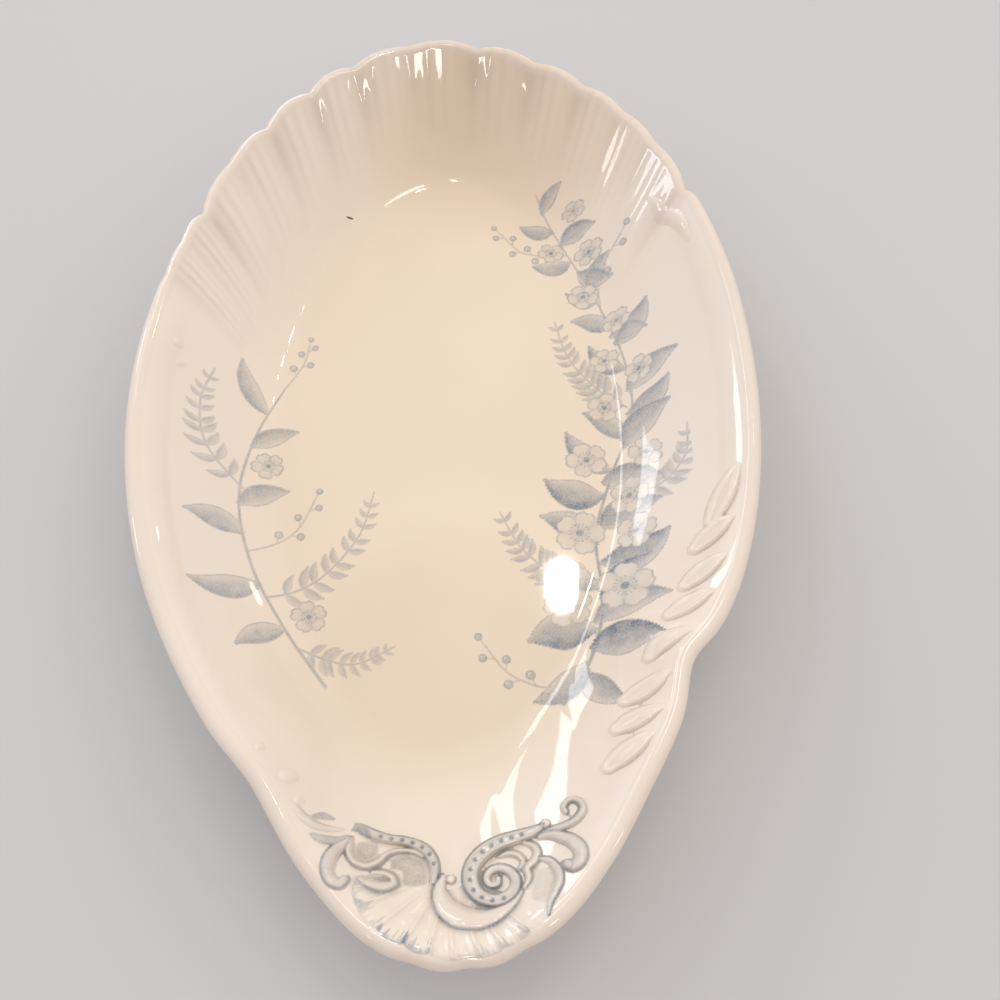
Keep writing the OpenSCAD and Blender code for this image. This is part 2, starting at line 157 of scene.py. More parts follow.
def rim_share(a):
    n = len(RIM_SHARES)
    x = (a % 360) * n / 360
    i = np.floor(x).astype(int)
    return cubic(*(RIM_SHARES[(i + k) % n] for k in (-1, 0, 1, 2)), x - i)


def plan(a, rho):
    """Plan point at angle a and share rho of the half sizes."""
    r = np.radians(a)
    return rho * HALF_W * np.cos(r), rho * HALF_L * np.sin(r)


def rim(a):
    return plan(a, rim_share(a))


def rim_out(a):
    """Outward normal of the rim in plan."""
    x1, y1 = rim(a - 0.5)
    x2, y2 = rim(a + 0.5)
    length = np.hypot(x2 - x1, y2 - y1)
    return (y2 - y1) / length, (x1 - x2) / length


def fluted(a):
    return window(a, FLUTES_FROM, FLUTES_TO)


# Each crease: angle, depth, and how far its groove reaches on the lower and the upper side
HALF_GAPS = [*(np.diff([angle for angle, _ in CREASES]) / 2)]
CREASE_ROWS = [(*crease, below, above) for crease, below, above
               in zip(CREASES, [OUTER_SPAN, *HALF_GAPS], [*HALF_GAPS, OUTER_SPAN])]


def grooves(c):
    """How close flute angle c is to a crease, rounded over, and the depth that it cuts into the rim."""
    near, cut = np.zeros_like(c), np.zeros_like(c)
    for angle, depth, below, above in CREASE_ROWS:
        gap = turn_gap(c, angle)
        q = np.abs(gap) / np.where(gap < 0, below, above)
        weight = WEAK_GROOVE + (1 - WEAK_GROOVE) * min(1, depth)
        near += weight * np.clip(1 + GROOVE_ROUND / 2 - np.hypot(q, GROOVE_ROUND), 0, 1) ** GROOVE_POWER
        cut += np.clip(1 - q, 0, 1) ** CREASE_POWER * depth
    return near, cut


def sweep(c):
    return SWEEP * window(c, SWEEP_FROM, SWEEP_TO)


def wall_table():
    """Everything that depends only on the angle, at quarter degrees."""
    a = np.arange(0, 360, 0.25)
    r = np.radians(a)
    x, y = rim(a)
    nx, ny = rim_out(a)
    t = {"angle": a, "support": x * nx + y * ny, "share": rim_share(a), "flute": fluted(a)}
    smooth = 1 - t["flute"]
    t["edge"] = WALL_T + (FLUTE_EDGE_T - WALL_T) * t["flute"]
    t["lean"] = np.arctan(LIP_SLOPE - ROLL_LOSS * smooth)
    dip = HALF_W * sum(depth * bell(turn_gap(a, angle), spread) for angle, spread, depth in DIPS)
    inset = TRIM + t["edge"] / 2 * (1 + np.sin(t["lean"]))
    t["crown"] = t["share"] * (1 - (inset + dip) / t["support"])
    sx, sy, cy = np.cos(r) * WIDTH / FLOOR_W, np.sin(r) * LENGTH / FLOOR_L, FLOOR_SHIFT * 2 / FLOOR_L
    aa, bb = sx * sx + sy * sy, sy * cy
    t["floor"] = (bb + np.sqrt(bb * bb - aa * (cy * cy - 1))) / aa
    t["run"] = t["support"] * (t["crown"] - t["floor"]) / t["share"]
    crown_z = HEIGHT - t["edge"] / 2 * (1 - np.cos(t["lean"]))
    t["rise"] = crown_z - FLOOR_Z - ROLL_W * (ROLL_GAIN - ROLL_LOSS) / 2 * smooth
    toe = TOE_R * t["rise"] / t["run"] ** 2
    t["toe"] = toe + toe * toe
    end_slope = LIP_SLOPE * t["run"] / t["rise"]
    t["steep"] = np.clip((end_slope - ROUND_END_SLOPE) / (CUBE_END_SLOPE - ROUND_END_SLOPE), 0, 1)
    return t


WALL = wall_table()


def wall(name, a):
    return np.interp(a, WALL["angle"], WALL[name], period=360)


def wall_span(a, cut):
    """Where the wall starts and ends at angle a, as shares of the half sizes, under a rim cut by cut."""
    return wall("floor", a), wall("crown", a) - wall("share", a) * SCALLOP * cut / wall("support", a)


# Fine grooves beside each crease: gap from the crease as a share of the flute, width, depth in mm
FINE_GROOVES = [(0.26, 0.060, 0.42), (0.50, 0.070, 0.30), (0.72, 0.050, 0.14)]
FINE_REACH = 18.0
# Share of their depth that the fine grooves keep away from the swept flutes
FINE_ELSEWHERE = 0.30
# The swept creases at the left run on down the wall as long faint ribs
LONG_RIB_H = 0.30
LONG_RIB_W = 0.10
LONG_RIB_REACH = 34.0
LONG_FROM = (118, 130)
LONG_TO = (163, 170)


def fine_grooves(c):
    """Depth of the fine grooves at flute angle c."""
    return sum(depth * bell(turn_gap(c, angle) / (2 * below) + place, width)
               for angle, _, below, _ in CREASE_ROWS for place, width, depth in FINE_GROOVES)


def flute_detail(c, inward):
    """Grooves and ribs too fine for the CAD, at flute angle c and a distance inward from the crown."""
    swept = window(c, LONG_FROM, LONG_TO)
    fade = np.clip(1 - inward / FINE_REACH, 0, 1) ** 1.3 * (0.4 + 0.6 * ease(inward / 2.5))
    fade = fade * (FINE_ELSEWHERE + (1 - FINE_ELSEWHERE) * swept)
    ribs = sum(np.exp(-np.abs(turn_gap(c, angle) / (2 * below)) / LONG_RIB_W)
               for angle, _, below, _ in CREASE_ROWS)
    long_fade = ease(1 - inward / LONG_RIB_REACH) * ease(inward / 8) * swept
    return (LONG_RIB_H * long_fade * ribs - fade * fine_grooves(c)) * fluted(c)


def wall_height(b, c, u):
    """Height of the top surface at angle b, flute angle c and share u of the wall."""
    near, cut = grooves(c)
    toe, steep, run = wall("toe", b), wall("steep", b), wall("run", b)
    beyond = np.maximum(u - 1, 0) * run
    u = np.minimum(u, 1)
    inward = (1 - u) * run
    u = u * (1 - SCALLOP * cut / run * ease(inward / LIFT_REACH))
    curve = (1 - steep) * (np.sqrt(u * u + toe * toe) - toe) / (np.sqrt(1 + toe * toe) - toe)
    curve += steep * u ** 3
    x = np.clip(inward / ROLL_W, 0, 1)
    roll = ROLL_W * ((ROLL_GAIN + ROLL_LOSS) * (1 - x * x) / 2 - ROLL_LOSS * (1 - x))
    fade = 1 - ease((inward - FLUTE_FULL) / (FLUTE_REACH - FLUTE_FULL))
    z = FLOOR_Z + wall("rise", b) * curve + (1 - fluted(c)) * roll
    z -= FLUTE_DEPTH * np.minimum(1, near) * fluted(c) * fade
    edge, lean = wall("edge", b) / 2, wall("lean", b)
    nose = edge * edge - (beyond - edge * np.sin(lean)) ** 2
    z -= edge * np.cos(lean) - np.sqrt(np.maximum(nose, 0))
    return z + flute_detail(c, inward)


# Painted shade in the grooves, which also stands for glaze pooled there: how far inward, and how soft the
# line is at the lip
POOL_SHADE_REACH = 16.5
POOL_SHADE_LIP = 1.2


def pooled(b, c, u):
    inward = np.maximum(1 - u, 0) * wall("run", b)
    fade = np.clip(1 - inward / POOL_SHADE_REACH, 0, 1) ** 0.8 * (0.60 + 0.40 * ease(inward / POOL_SHADE_LIP))
    return np.clip(grooves(c)[0] ** 1.3 + fine_grooves(c), 0, 1) * fluted(c) * fade


def wall_place(x, y):
    """Angle, flute angle and wall share of plan points."""
    b = np.degrees(np.arctan2(y / HALF_L, x / HALF_W)) % 360
    rho = np.hypot(x / HALF_W, y / HALF_L)
    low, high = wall_span(b, 0)
    u = np.clip((rho - low) / (high - low), 0, 1)
    back, c = b - SWEEP, b
    for _ in range(SWEEP_HALVINGS):
        middle = (back + c) / 2
        short = middle + sweep(middle) * (1 - u) ** SWEEP_POWER < b
        back, c = np.where(short, middle, back), np.where(short, c, middle)
    low, high = wall_span(b, grooves(c)[1])
    return b, c, np.clip((rho - low) / (high - low), 0, 1.3)


def on_wall(a, u):
    """Plan point at angle a and share u of the wall."""
    a = np.asarray(a, float)
    low, high = wall_span(a, grooves(a)[1])
    return plan(a, low + u * (high - low))


def dish_height(x, y):
    return wall_height(*wall_place(x, y))


# ---------------- curves and fields in plan
def smooth_path(rows, steps=12):
    """Catmull-Rom curve through rows of numbers."""
    p = np.array([rows[0], *rows, rows[-1]], float)
    f = np.linspace(0, 1, steps, endpoint=False)[:, None]
    return np.vstack([cubic(*p[i:i + 4], f) for i in range(len(p) - 3)] + [p[-1:]])


def along(px, py, path):
    """For points: distance to the path, signed offset (left is positive), its sample, its length so far."""
    dx = px[:, None] - path[None, :, 0]
    dy = py[:, None] - path[None, :, 1]
    d2 = dx * dx + dy * dy
    i = d2.argmin(1)
    way = np.gradient(path[:, :2], axis=0)
    way /= np.maximum(np.linalg.norm(way, axis=1), 1e-9)[:, None]
    rows = np.arange(len(px))
    ox, oy = dx[rows, i], dy[rows, i]
    side = way[i, 0] * oy - way[i, 1] * ox
    ahead = way[i, 0] * ox + way[i, 1] * oy
    run = np.concatenate([[0], np.cumsum(np.linalg.norm(np.diff(path[:, :2], axis=0), axis=1))])
    ended = ((i == 0) & (ahead < 0)) | ((i == len(path) - 1) & (ahead > 0))
    past = np.where(ended, np.abs(ahead), 0)
    return np.hypot(side, past), side, i, run[i] + ahead, past


# Millimetres past the crown line that a piece of relief may reach
PAST_CROWN = 1.5


class Sheet:
    """A regular grid in plan that carries relief heights, ink and the piece that owns each point."""

    def __init__(self, x0, x1, y0, y1, step):
        self.x, self.y = np.arange(x0, x1 + step / 2, step), np.arange(y0, y1 + step / 2, step)
        self.X, self.Y = np.meshgrid(self.x, self.y)
        shape = self.X.shape
        b, c, u = wall_place(self.X.ravel(), self.Y.ravel())
        self.base = wall_height(b, c, u).reshape(shape)
        self.clear = (u < 1 + PAST_CROWN / wall("run", b)).reshape(shape)
        self.pooled = pooled(b, c, u).reshape(shape)
        self.relief, self.ink, self.shade, self.best = np.zeros((4, *shape))
        self.owner = np.full(shape, -1)

    def near(self, points, reach):
        """Slices of the grid around some plan points."""
        x, y = np.asarray(points)[:, :2].T
        return tuple(slice(*np.searchsorted(grid, [v.min() - reach, v.max() + reach]))
                     for grid, v in ((self.y, y), (self.x, x)))

    def fields(self, path, reach):
        """The slices near a path, and what along() says there."""
        s = self.near(path, reach)
        return s, [v.reshape(self.X[s].shape) for v in along(self.X[s].ravel(), self.Y[s].ravel(), path)]

    def darken(self, s, value):
        self.ink[s] = np.maximum(self.ink[s], value)

    def tint(self, s, value):
        self.shade[s] = np.maximum(self.shade[s], value)

    def take(self, s, node, where):
        """A piece takes points that none owns."""
        self.owner[s] = np.where(where & (self.owner[s] < 0), NODES.index(node), self.owner[s])

    def lift(self, s, node, height):
        """Raise the relief to a height. The piece that stands highest at a point owns it."""
        highest = (height > LEAST_H) & (height >= self.best[s])
        self.best[s] = np.where(highest, height, self.best[s])
        self.owner[s] = np.where(highest, NODES.index(node), self.owner[s])
        self.relief[s] = np.maximum(self.relief[s], height)

    def soften(self, width):
        """The glaze rounds off whatever lies under it."""
        sigma = width / (self.x[1] - self.x[0])
        k = np.arange(-int(3 * sigma) - 1, int(3 * sigma) + 2)
        w = np.exp(-k * k / (2 * sigma * sigma))
        w /= w.sum()
        for axis in (0, 1):
            self.relief = np.apply_along_axis(lambda v: np.convolve(v, w, mode="same"), axis, self.relief)

    def pool(self, width, gain, most):
        """Painted shade in the hollows beside raised work."""
        raised = self.relief.copy()
        self.soften(width)
        deep = self.relief - raised
        self.relief = raised
        self.tint(..., np.clip(deep * gain, 0, most))

    def surface(self):
        return np.minimum(self.base + self.relief, TOP)


# ---------------- moulded relief
NODES = ["volute_scroll", "outer_crescent", "left_scroll", "left_leaf_curl", "right_leaf_curl",
         "tendril_scroll", "shell_fan", "side_feathers", "rim_break_scroll", "bead_trail"]
TINTED = {"volute_scroll", "left_scroll", "left_leaf_curl", "right_leaf_curl", "tendril_scroll"}
# A piece owns relief from this height, and a painted line where no relief is, with a lower claim
LEAST_H = 0.004
LINE_H = 0.002
LINE_W = 0.25
DOT_GAP = 2.0
DOT_R = 0.48
DOT_DEPTH = 0.10


def strand(sheet, node, rows, wash=0, warm=0, line=0, line_side=1, style="round", dots=None):
    """A raised strand along rows of x, y, half width and height, painted with underglaze colour and a tan
    wash that deepens into painted shade at its edges.

    style "round" is a cord, "band" is flat with a rim along both edges, "lobe" is a hollowed leaf that is
    higher on its left, and "leaf" is a ridge that is higher on its left.
    """
    path = smooth_path(rows)
    s, (dist, side, i, run, past) = sheet.fields(path, path[:, 2].max() * 1.3 + 1.2)
    half, rise = path[i, 2], path[i, 3]
    t = np.where(past > 0, dist, np.abs(side)) / half
    if style == "band":
        shape = ease((1.22 - t) / 0.5) * (0.80 + 0.26 * bell(t - 0.74, 0.20))
    elif style == "lobe":
        shape = ease((1.15 - t) / 0.42) * (0.56 + 0.24 * side / half + 0.36 * bell(t - 0.70, 0.22))
    elif style == "leaf":
        shape = np.clip(1 - t, 0, 1) ** 0.5 * (0.75 + 0.25 * np.clip(side / half, -1, 1))
    else:
        shape = np.sqrt(np.clip(1 - (t / 1.08) ** 2, 0, 1))
    sheet.lift(s, node, rise * shape)
    inside = ease((1.1 - t) / 0.25)
    sheet.darken(s, wash * inside)
    # Tan wash with painted shade: deepest at the strand's edges
    sheet.tint(s, warm * inside * (0.35 + 0.65 * ease((t - 0.2) / 0.8)))
    if line:
        edge = bell(dist - half * 1.06, LINE_W) * (side * line_side > -0.2 * half)
        sheet.darken(s, line * edge)
        sheet.best[s] = np.where((edge > 0.1) & (sheet.best[s] <= 0), LINE_H, sheet.best[s])
        sheet.take(s, node, edge > 0.1)
    if dots:
        first, last, offset = dots
        for k in range(int((last - first) / DOT_GAP) + 1):
            r = np.hypot(run - first - k * DOT_GAP, side - offset * half)
            spot = ease((DOT_R * 1.4 - r) / (DOT_R * 0.9)) * (t < 1)
            sheet.darken(s, 0.55 * spot)
            sheet.tint(s, 0.9 * spot)
            sheet.relief[s] -= DOT_DEPTH * spot


def dome(sheet, node, x, y, radius, rise, line=0.0):
    s = sheet.near([[x, y]], radius * 1.6 + 0.6)
    r = np.hypot(sheet.X[s] - x, sheet.Y[s] - y) / radius
    sheet.lift(s, node, rise * np.sqrt(np.clip(1 - r * r, 0, 1)))
    sheet.darken(s, line * bell((r - 1.05) * radius, LINE_W))


def hollow(sheet, node, outline, depth, wash):
    """A sunk panel, its floor darkened with painted shade."""
    p = smooth_path(outline + outline[:1], 8)
    s, (dist, *_) = sheet.fields(p, 1)
    X, Y = sheet.X[s], sheet.Y[s]
    inside = np.zeros(X.shape, bool)
    for (x1, y1), (x2, y2) in zip(p, np.roll(p, -1, 0)):
        if y1 != y2:
            inside ^= ((y1 > Y) != (y2 > Y)) & (X < (x2 - x1) * (Y - y1) / (y2 - y1) + x1)
    d = np.where(inside, dist, 0)
    dip = ease(d / 0.9)
    sheet.relief[s] -= depth * dip
    # Painted shade over the panel's floor
    sheet.tint(s, wash * (0.55 * dip + 0.45 * ease(d / 0.4) * np.exp(-d / 1.1)))
    sheet.take(s, node, inside)


# The shell below the scrolls: notches of its scalloped edge round a centre, in plan
SHELL_CENTRE = (2.5, -89.5)
SHELL_NOTCHES = [(-13.6, -91.6), (-13, -97.4), (-9.4, -101), (-4.6, -103.6), (-0.2, -105.1),
                 (3.9, -106.2), (8.6, -105.7), (12.8, -104.1), (17.4, -101.4), (20.6, -98)]
SHELL_BULGE = 0.55
SHELL_H = 0.36
SHELL_RIB_H = 0.42
SHELL_RIB_W = 0.55
STROKES_PER_RADIAN = 46
STROKE_L = 3.6


def shell(sheet, rng):
    cx, cy = SHELL_CENTRE
    notch = np.array(SHELL_NOTCHES)
    angle = np.arctan2(notch[:, 1] - cy, notch[:, 0] - cx) % (2 * math.pi)
    radius = np.hypot(notch[:, 0] - cx, notch[:, 1] - cy)
    s = sheet.near(SHELL_NOTCHES + [SHELL_CENTRE], 2)
    X, Y = sheet.X[s], sheet.Y[s]
    th = np.arctan2(Y - cy, X - cx) % (2 * math.pi)
    r = np.hypot(X - cx, Y - cy)
    k = np.clip(np.searchsorted(angle, th) - 1, 0, len(angle) - 2)
    f = np.clip((th - angle[k]) / (angle[k + 1] - angle[k]), 0, 1)
    edge = blend(f, radius[k], radius[k + 1]) + SHELL_BULGE * np.sin(math.pi * f) ** 0.7
    within = (th > angle[0]) & (th < angle[-1])
    ends = ease((th - angle[0]) / 0.10) * ease((angle[-1] - th) / 0.10)
    depth = (edge - r) * within
    lobe = 4 * f * (1 - f)
    gap = np.minimum(f, 1 - f) * (angle[k + 1] - angle[k]) * r
    rib = bell(gap, SHELL_RIB_W) * ease((depth + 0.4) / 1.2) * ease((r - 6) / 4) * ends
    body = ease(depth / 2.2) * ends * ease((r - 4) / 4)
    height = SHELL_H * body * (1 - 0.75 * lobe * ease(depth / 3)) + SHELL_RIB_H * rib
    sheet.take(s, "shell_fan", (depth > -0.6) & (ends > 0) & (r > 4))
    ground = sheet.best[s] <= LINE_H
    sheet.relief[s] = np.where(ground, np.maximum(sheet.relief[s], 0) + height, sheet.relief[s])
    count = int(STROKES_PER_RADIAN * (angle[-1] - angle[0]))
    length = rng.uniform(0.15, 1.0, count) ** 1.3 * STROKE_L
    tone = rng.uniform(0.35, 1.0, count)
    lobe_tone = rng.permutation(np.linspace(0.30, 1.0, len(angle) - 1) ** 1.7)[k]
    at = (th - angle[0]) / (angle[-1] - angle[0]) * (count - 1)
    j = np.clip(at.astype(int), 0, count - 2)
    g = ease(at - j)
    stroke = ease((blend(g, length[j], length[j + 1]) - depth) / 0.9) * ease((depth + 0.1) / 0.3)
    stroke = stroke * blend(g, tone[j], tone[j + 1]) * (0.30 + 0.70 * np.abs(2 * f - 1) ** 0.6)
    edge_line = 0.55 * bell(depth - 0.1, 0.22)
    sheet.darken(s, lobe_tone * np.maximum(stroke, edge_line) * ends * (ground & within))


# Strands of the handle in drawing order: node, (wash, warm, line, line_side, style, dots) for strand(), and
# rows of x, y, half width and height
STRANDS = [
    ("outer_crescent", (0, 0.3, 0.66, -1), [
        (1.5, -91.2, 0.6, 0.6), (1, -94, 1.25, 1.1), (2.1, -96.7, 1.75, 1.3), (4.2, -98.5, 1.95, 1.4),
        (6.8, -99.2, 1.85, 1.4), (9.5, -99.1, 1.55, 1.35), (12.1, -98, 1.2, 1.2), (14.4, -96.3, 0.7, 0.8),
        (15.8, -94.4, 0.4, 0.5)]),
    ("volute_scroll", (0.22, 0.25, 0.75, -1, "band", (4, 26, -0.1)), [
        (19.8, -82, 0.5, 0.5), (17.6, -83.1, 1, 1.1), (14.3, -84, 1.25, 1.35), (11.3, -85, 1.4, 1.45),
        (8.8, -86.6, 1.45, 1.5), (7.1, -88.8, 1.4, 1.5), (6.6, -91.3, 1.4, 1.5), (7.3, -93.7, 1.35, 1.5),
        (8.9, -95.2, 1.2, 1.45), (11.1, -95.8, 1.1, 1.4), (13.2, -95.2, 1, 1.35), (14.6, -93.8, 0.9, 1.3),
        (14.8, -91.9, 0.85, 1.3), (13.7, -90.4, 0.8, 1.25), (11.9, -89.7, 0.75, 1.25),
        (10.2, -90.2, 0.7, 1.2), (9.5, -91.6, 0.65, 1.2), (10.2, -92.8, 0.6, 1.2), (11.5, -92.7, 0.55, 1.25),
        (11.7, -91.7, 0.5, 1.3)]),
    ("volute_scroll", (0.08, 0.5, 0.35), [
        (11.8, -87.5, 0.3, 0.4), (13.4, -86.9, 0.55, 0.8), (15.2, -87.3, 0.6, 0.9), (16.2, -88.6, 0.55, 0.8),
        (15.6, -89.9, 0.35, 0.4)]),
    ("shell_fan", (0.06, 0.45, 0.5), [
        (16.4, -84.9, 0.4, 0.5), (18.2, -85.8, 0.65, 0.9), (18.8, -87.4, 0.75, 1), (18, -88.9, 0.75, 1),
        (16.9, -90, 0.7, 0.9), (17.2, -91.8, 0.65, 0.8), (16.4, -93.6, 0.4, 0.4)]),
    ("left_scroll", (0.28, 0.2, 0.75, 1, "band", (5, 17, 0)), [
        (-14.9, -81.9, 0.25, 0.2), (-13.6, -82.6, 0.75, 0.7), (-11.6, -83.5, 0.85, 1.1),
        (-9, -84.1, 0.75, 1.2), (-6.4, -84.3, 0.75, 1.3), (-4, -84.9, 0.85, 1.35), (-1.9, -86.1, 0.9, 1.35),
        (-0.5, -88, 0.85, 1.35), (0, -90.1, 0.7, 1.25), (-0.2, -92.2, 0.45, 0.9)]),
    ("left_scroll", (0.62, 0, 0.6), [
        (-15.1, -82.9, 0.3, 0.3), (-14.3, -82.4, 0.75, 0.9), (-13.2, -83.2, 0.7, 0.9),
        (-12.4, -84, 0.3, 0.5)]),
    ("left_scroll", (0.06, 0.42, 0.42, -1), [
        (-15.3, -84.9, 0.4, 0.5), (-15.6, -87.2, 0.55, 0.9), (-14.4, -89.2, 0.6, 1), (-12.2, -89.8, 0.6, 1),
        (-10.2, -88.7, 0.6, 1), (-9, -87.2, 0.55, 1), (-7, -86.3, 0.5, 0.95), (-4.4, -86.3, 0.45, 0.8),
        (-2.5, -87.2, 0.35, 0.5)]),
    ("left_scroll", (0.06, 0.45, 0.5, -1), [
        (-13.2, -92.3, 0.4, 0.5), (-11.5, -93.1, 0.8, 1), (-9.2, -93.5, 0.95, 1.2), (-7.3, -92.9, 0.8, 1.2),
        (-7.6, -91.6, 0.6, 1), (-9.2, -90.9, 0.6, 0.9), (-11, -90.9, 0.5, 0.6)]),
    ("left_leaf_curl", (0.16, 0.35, 0.55, -1), [
        (-15.6, -84.9, 0.6, 0.7), (-17.1, -86.5, 0.95, 1.1), (-18.3, -88.7, 1.1, 1.1),
        (-18.6, -90.9, 1.1, 0.9), (-17.9, -92.8, 1, 0.65), (-16.4, -93.6, 0.85, 0.7),
        (-15.6, -92.7, 0.75, 0.85)]),
    ("left_leaf_curl", (0.1, 0, 0.2, 1, "leaf"), [
        (-26, -78.9, 0.3, 0.3), (-24.3, -81.2, 0.6, 0.7), (-22.2, -82.8, 0.7, 0.9), (-19.8, -83.3, 0.55, 0.8),
        (-17.2, -83.2, 0.25, 0.4)]),
    ("left_leaf_curl", (0.5,), [
        (-22.3, -81.1, 0.35, 0.3), (-20.8, -80.7, 0.7, 0.5), (-19, -81.1, 0.35, 0.2)]),
    ("left_leaf_curl", (0.42, 0, 0.4), [
        (-22, -85, 0.3, 0.3), (-20, -85.6, 0.65, 0.7), (-17.8, -85.5, 0.6, 0.7), (-16.4, -84.7, 0.3, 0.5)]),
    ("tendril_scroll", (0.18, 0.3, 0.6), [
        (19.6, -83.6, 0.4, 0.4), (21.4, -83, 0.6, 0.8), (23.8, -82.5, 0.65, 0.95), (26.1, -81.4, 0.65, 1),
        (27.4, -79.5, 0.65, 1), (26.8, -77.7, 0.6, 0.95), (25.1, -77.2, 0.6, 0.95), (23.9, -78.4, 0.55, 0.9),
        (24.3, -79.7, 0.5, 0.9)]),
    ("right_leaf_curl", (0.16, 0.35, 0.62), [
        (19.4, -84.1, 0.5, 0.5), (21.3, -83.9, 0.8, 0.9), (23.4, -84.6, 1.05, 1.15), (25.3, -85.8, 1.2, 1.15),
        (26.4, -87.6, 1.2, 1.05), (26.2, -89.4, 1.1, 1), (25, -90.4, 0.95, 1), (24.2, -89.9, 0.9, 1)]),
    ("shell_fan", (0.25, 0, 0.75), [
        (19.4, -88.3, 0.35, 0.4), (21, -88.9, 0.6, 0.8), (22.3, -90.6, 0.7, 0.85), (22.6, -92.6, 0.7, 0.8),
        (21.8, -94.6, 0.65, 0.75), (20.8, -96.5, 0.55, 0.6), (20.4, -98.6, 0.3, 0.3)])]
# Bosses: node, x, y, radius, height and the line round them
BOSSES = [("outer_crescent", 3, -91.6, 0.9, 1, 0.4), ("tendril_scroll", 20.5, -81.5, 0.95, 1, 0.5),
          ("right_leaf_curl", 24, -90, 0.9, 1.05, 0.5)]
# Sunk panels: node, depth, painted shade on the floor, outline
HOLLOWS = [
    ("left_scroll", 0.35, 0.92, [
        (-14.9, -86.2), (-13.9, -84.9), (-11.8, -84.9), (-10.4, -85.6), (-10.6, -87.6), (-12.2, -89),
        (-14, -88.7), (-14.9, -87.5)]),
    ("left_scroll", 0.4, 0.92, [
        (-8.4, -88.2), (-6.7, -87), (-3.8, -87), (-1.8, -88.4), (-1.2, -90.5), (-1.4, -92.8), (-4.6, -93.4),
        (-6.2, -92.4), (-6.2, -90.6), (-8.2, -90)]),
    ("shell_fan", 0.3, 0.4, [
        (18.6, -90), (20.8, -90.2), (21.7, -92), (21, -94.4), (19.6, -96.6), (17.6, -96), (17.6, -93.4),
        (18.2, -91.6)])]
# What the handle's softened relief is raised by, and the painted shade in the hollows beside raised work:
# width, gain, most
HANDLE_GAIN = 1.2
HANDLE_POOL_SHADE = (0.7, 2.3, 0.9)
FEATHER_POOL_SHADE = (0.7, 1.5, 0.7)


def handle_ornament(rng):
    sheet = Sheet(-29.5, 31.0, -106.9, -74.5, 0.18)
    for node, depth, wash, outline in HOLLOWS:
        hollow(sheet, node, outline, depth, wash)
    for node, paint, rows in STRANDS:
        strand(sheet, node, rows, *paint)
    for row in BOSSES:
        dome(sheet, *row)
    sheet.soften(0.13)
    sheet.pool(*HANDLE_POOL_SHADE)
    shell(sheet, rng)
    sheet.soften(0.08)
    sheet.relief *= HANDLE_GAIN
    return sheet


# Feather strokes down the right side: angle and wall share at the lip, and where each tail ends
FEATHERS = [
    (354, 0.93, 346.6, 0.8), (347, 0.93, 342.4, 0.73), (341.6, 0.93, 336.4, 0.74), (336.2, 0.93, 331, 0.74),
    (329.4, 0.94, 323.4, 0.76), (322.4, 0.93, 315.4, 0.66), (317.8, 0.93, 311, 0.7), (314, 0.94, 306, 0.78)]
FEATHER_W = 2.1
FEATHER_H = 1.45
FEATHER_SHAPE = np.array([0.3, 0.62, 0.88, 1, 0.95, 0.66])
# Angle, wall share, radius or half width, height: beads, and the scroll where the flutes end
BEADS = [(232.4, 0.9, 0.9, 0.7), (239.2, 0.83, 1.6, 0.9), (242.8, 0.86, 0.9, 0.6),
         (167.4, 0.84, 0.9, 0.5), (169.8, 0.8, 0.8, 0.45), (327, 0.79, 1.2, 0.7)]
BREAK = [(39.6, 0.81, 0.4, 0.2), (37.4, 0.845, 1, 0.7), (35.5, 0.86, 1.25, 0.9), (33.3, 0.875, 1.3, 0.9),
         (31, 0.885, 1, 0.8), (28.6, 0.88, 0.4, 0.3)]


def feather(a0, u0, a1, u1):
    """Rows of one feather stroke, from the lip to its tail."""
    f = np.linspace(0, 1, len(FEATHER_SHAPE))
    return np.c_[a0 + (a1 - a0) * f ** 1.25, u0 + (u1 - u0) * f, FEATHER_W * FEATHER_SHAPE,
                 FEATHER_H * FEATHER_SHAPE ** 0.7]


def wall_ornament(node, extent, step, soft, strands=(), beads=(), style="round"):
    """A sheet of strands and beads whose rows start with an angle and a share of the wall."""
    sheet = Sheet(*extent, step)
    for a, u, half, rise in [np.array(rows).T for rows in strands]:
        strand(sheet, node, list(zip(*on_wall(a, u), half, rise)), style=style)
    for a, u, radius, rise in beads:
        dome(sheet, node, *on_wall(a, u), radius, rise)
    sheet.soften(soft)
    return sheet


# ---------------- printed sprays, the builder's own drawing
INK_SOFT = 0.22
LEAF_WASH = 1.60
LEAF_POINTS = 24
FROND_LEAN = math.radians(55)
PETALS = 5
PETAL_WASH = 0.16
# Ink too faint to print
LEAST_INK = 0.012


def ink_stroke(sheet, rows, tone):
    path = smooth_path(rows, 16)
    s, (dist, _, i, _, _) = sheet.fields(path, 1.5)
    sheet.darken(s, tone * ease((path[i, 2] + INK_SOFT - dist) / (2 * INK_SOFT)))


def ink_leaf(sheet, base, tip, width, bend, wash, line=0.6, veins=True):
    """An ovate leaf between two plan points, with a midrib, side veins and one darker half."""
    base, tip = np.array(base, float), np.array(tip, float)
    span = tip - base
    normal = np.array([-span[1], span[0]])
    f = np.linspace(0, 1, LEAF_POINTS)[:, None]
    s, (_, side, i, run, past) = sheet.fields(base + span * f + normal * bend * 4 * f * (1 - f), width)
    off = np.abs(side)
    half = width / 2 * np.sin(math.pi * np.clip(i / (LEAF_POINTS - 1), 0.02, 0.98) ** 0.85) ** 0.9
    inside = ease((half - off) / 0.3 + 0.5) * (past < 0.3)
    lean = 0.75 + 0.35 * np.sign(side) * ease(off / (half + 0.01))
    sheet.darken(s, LEAF_WASH * wash * inside * lean)
    sheet.darken(s, line * bell(off - half, 0.2) * (past < 0.3))
    sheet.darken(s, line * 0.9 * bell(side, 0.16) * inside)
    if veins:
        phase = (run - 0.8 * off) / 1.5
        sheet.darken(s, line * 0.6 * inside * bell(phase - np.round(phase), 0.12))


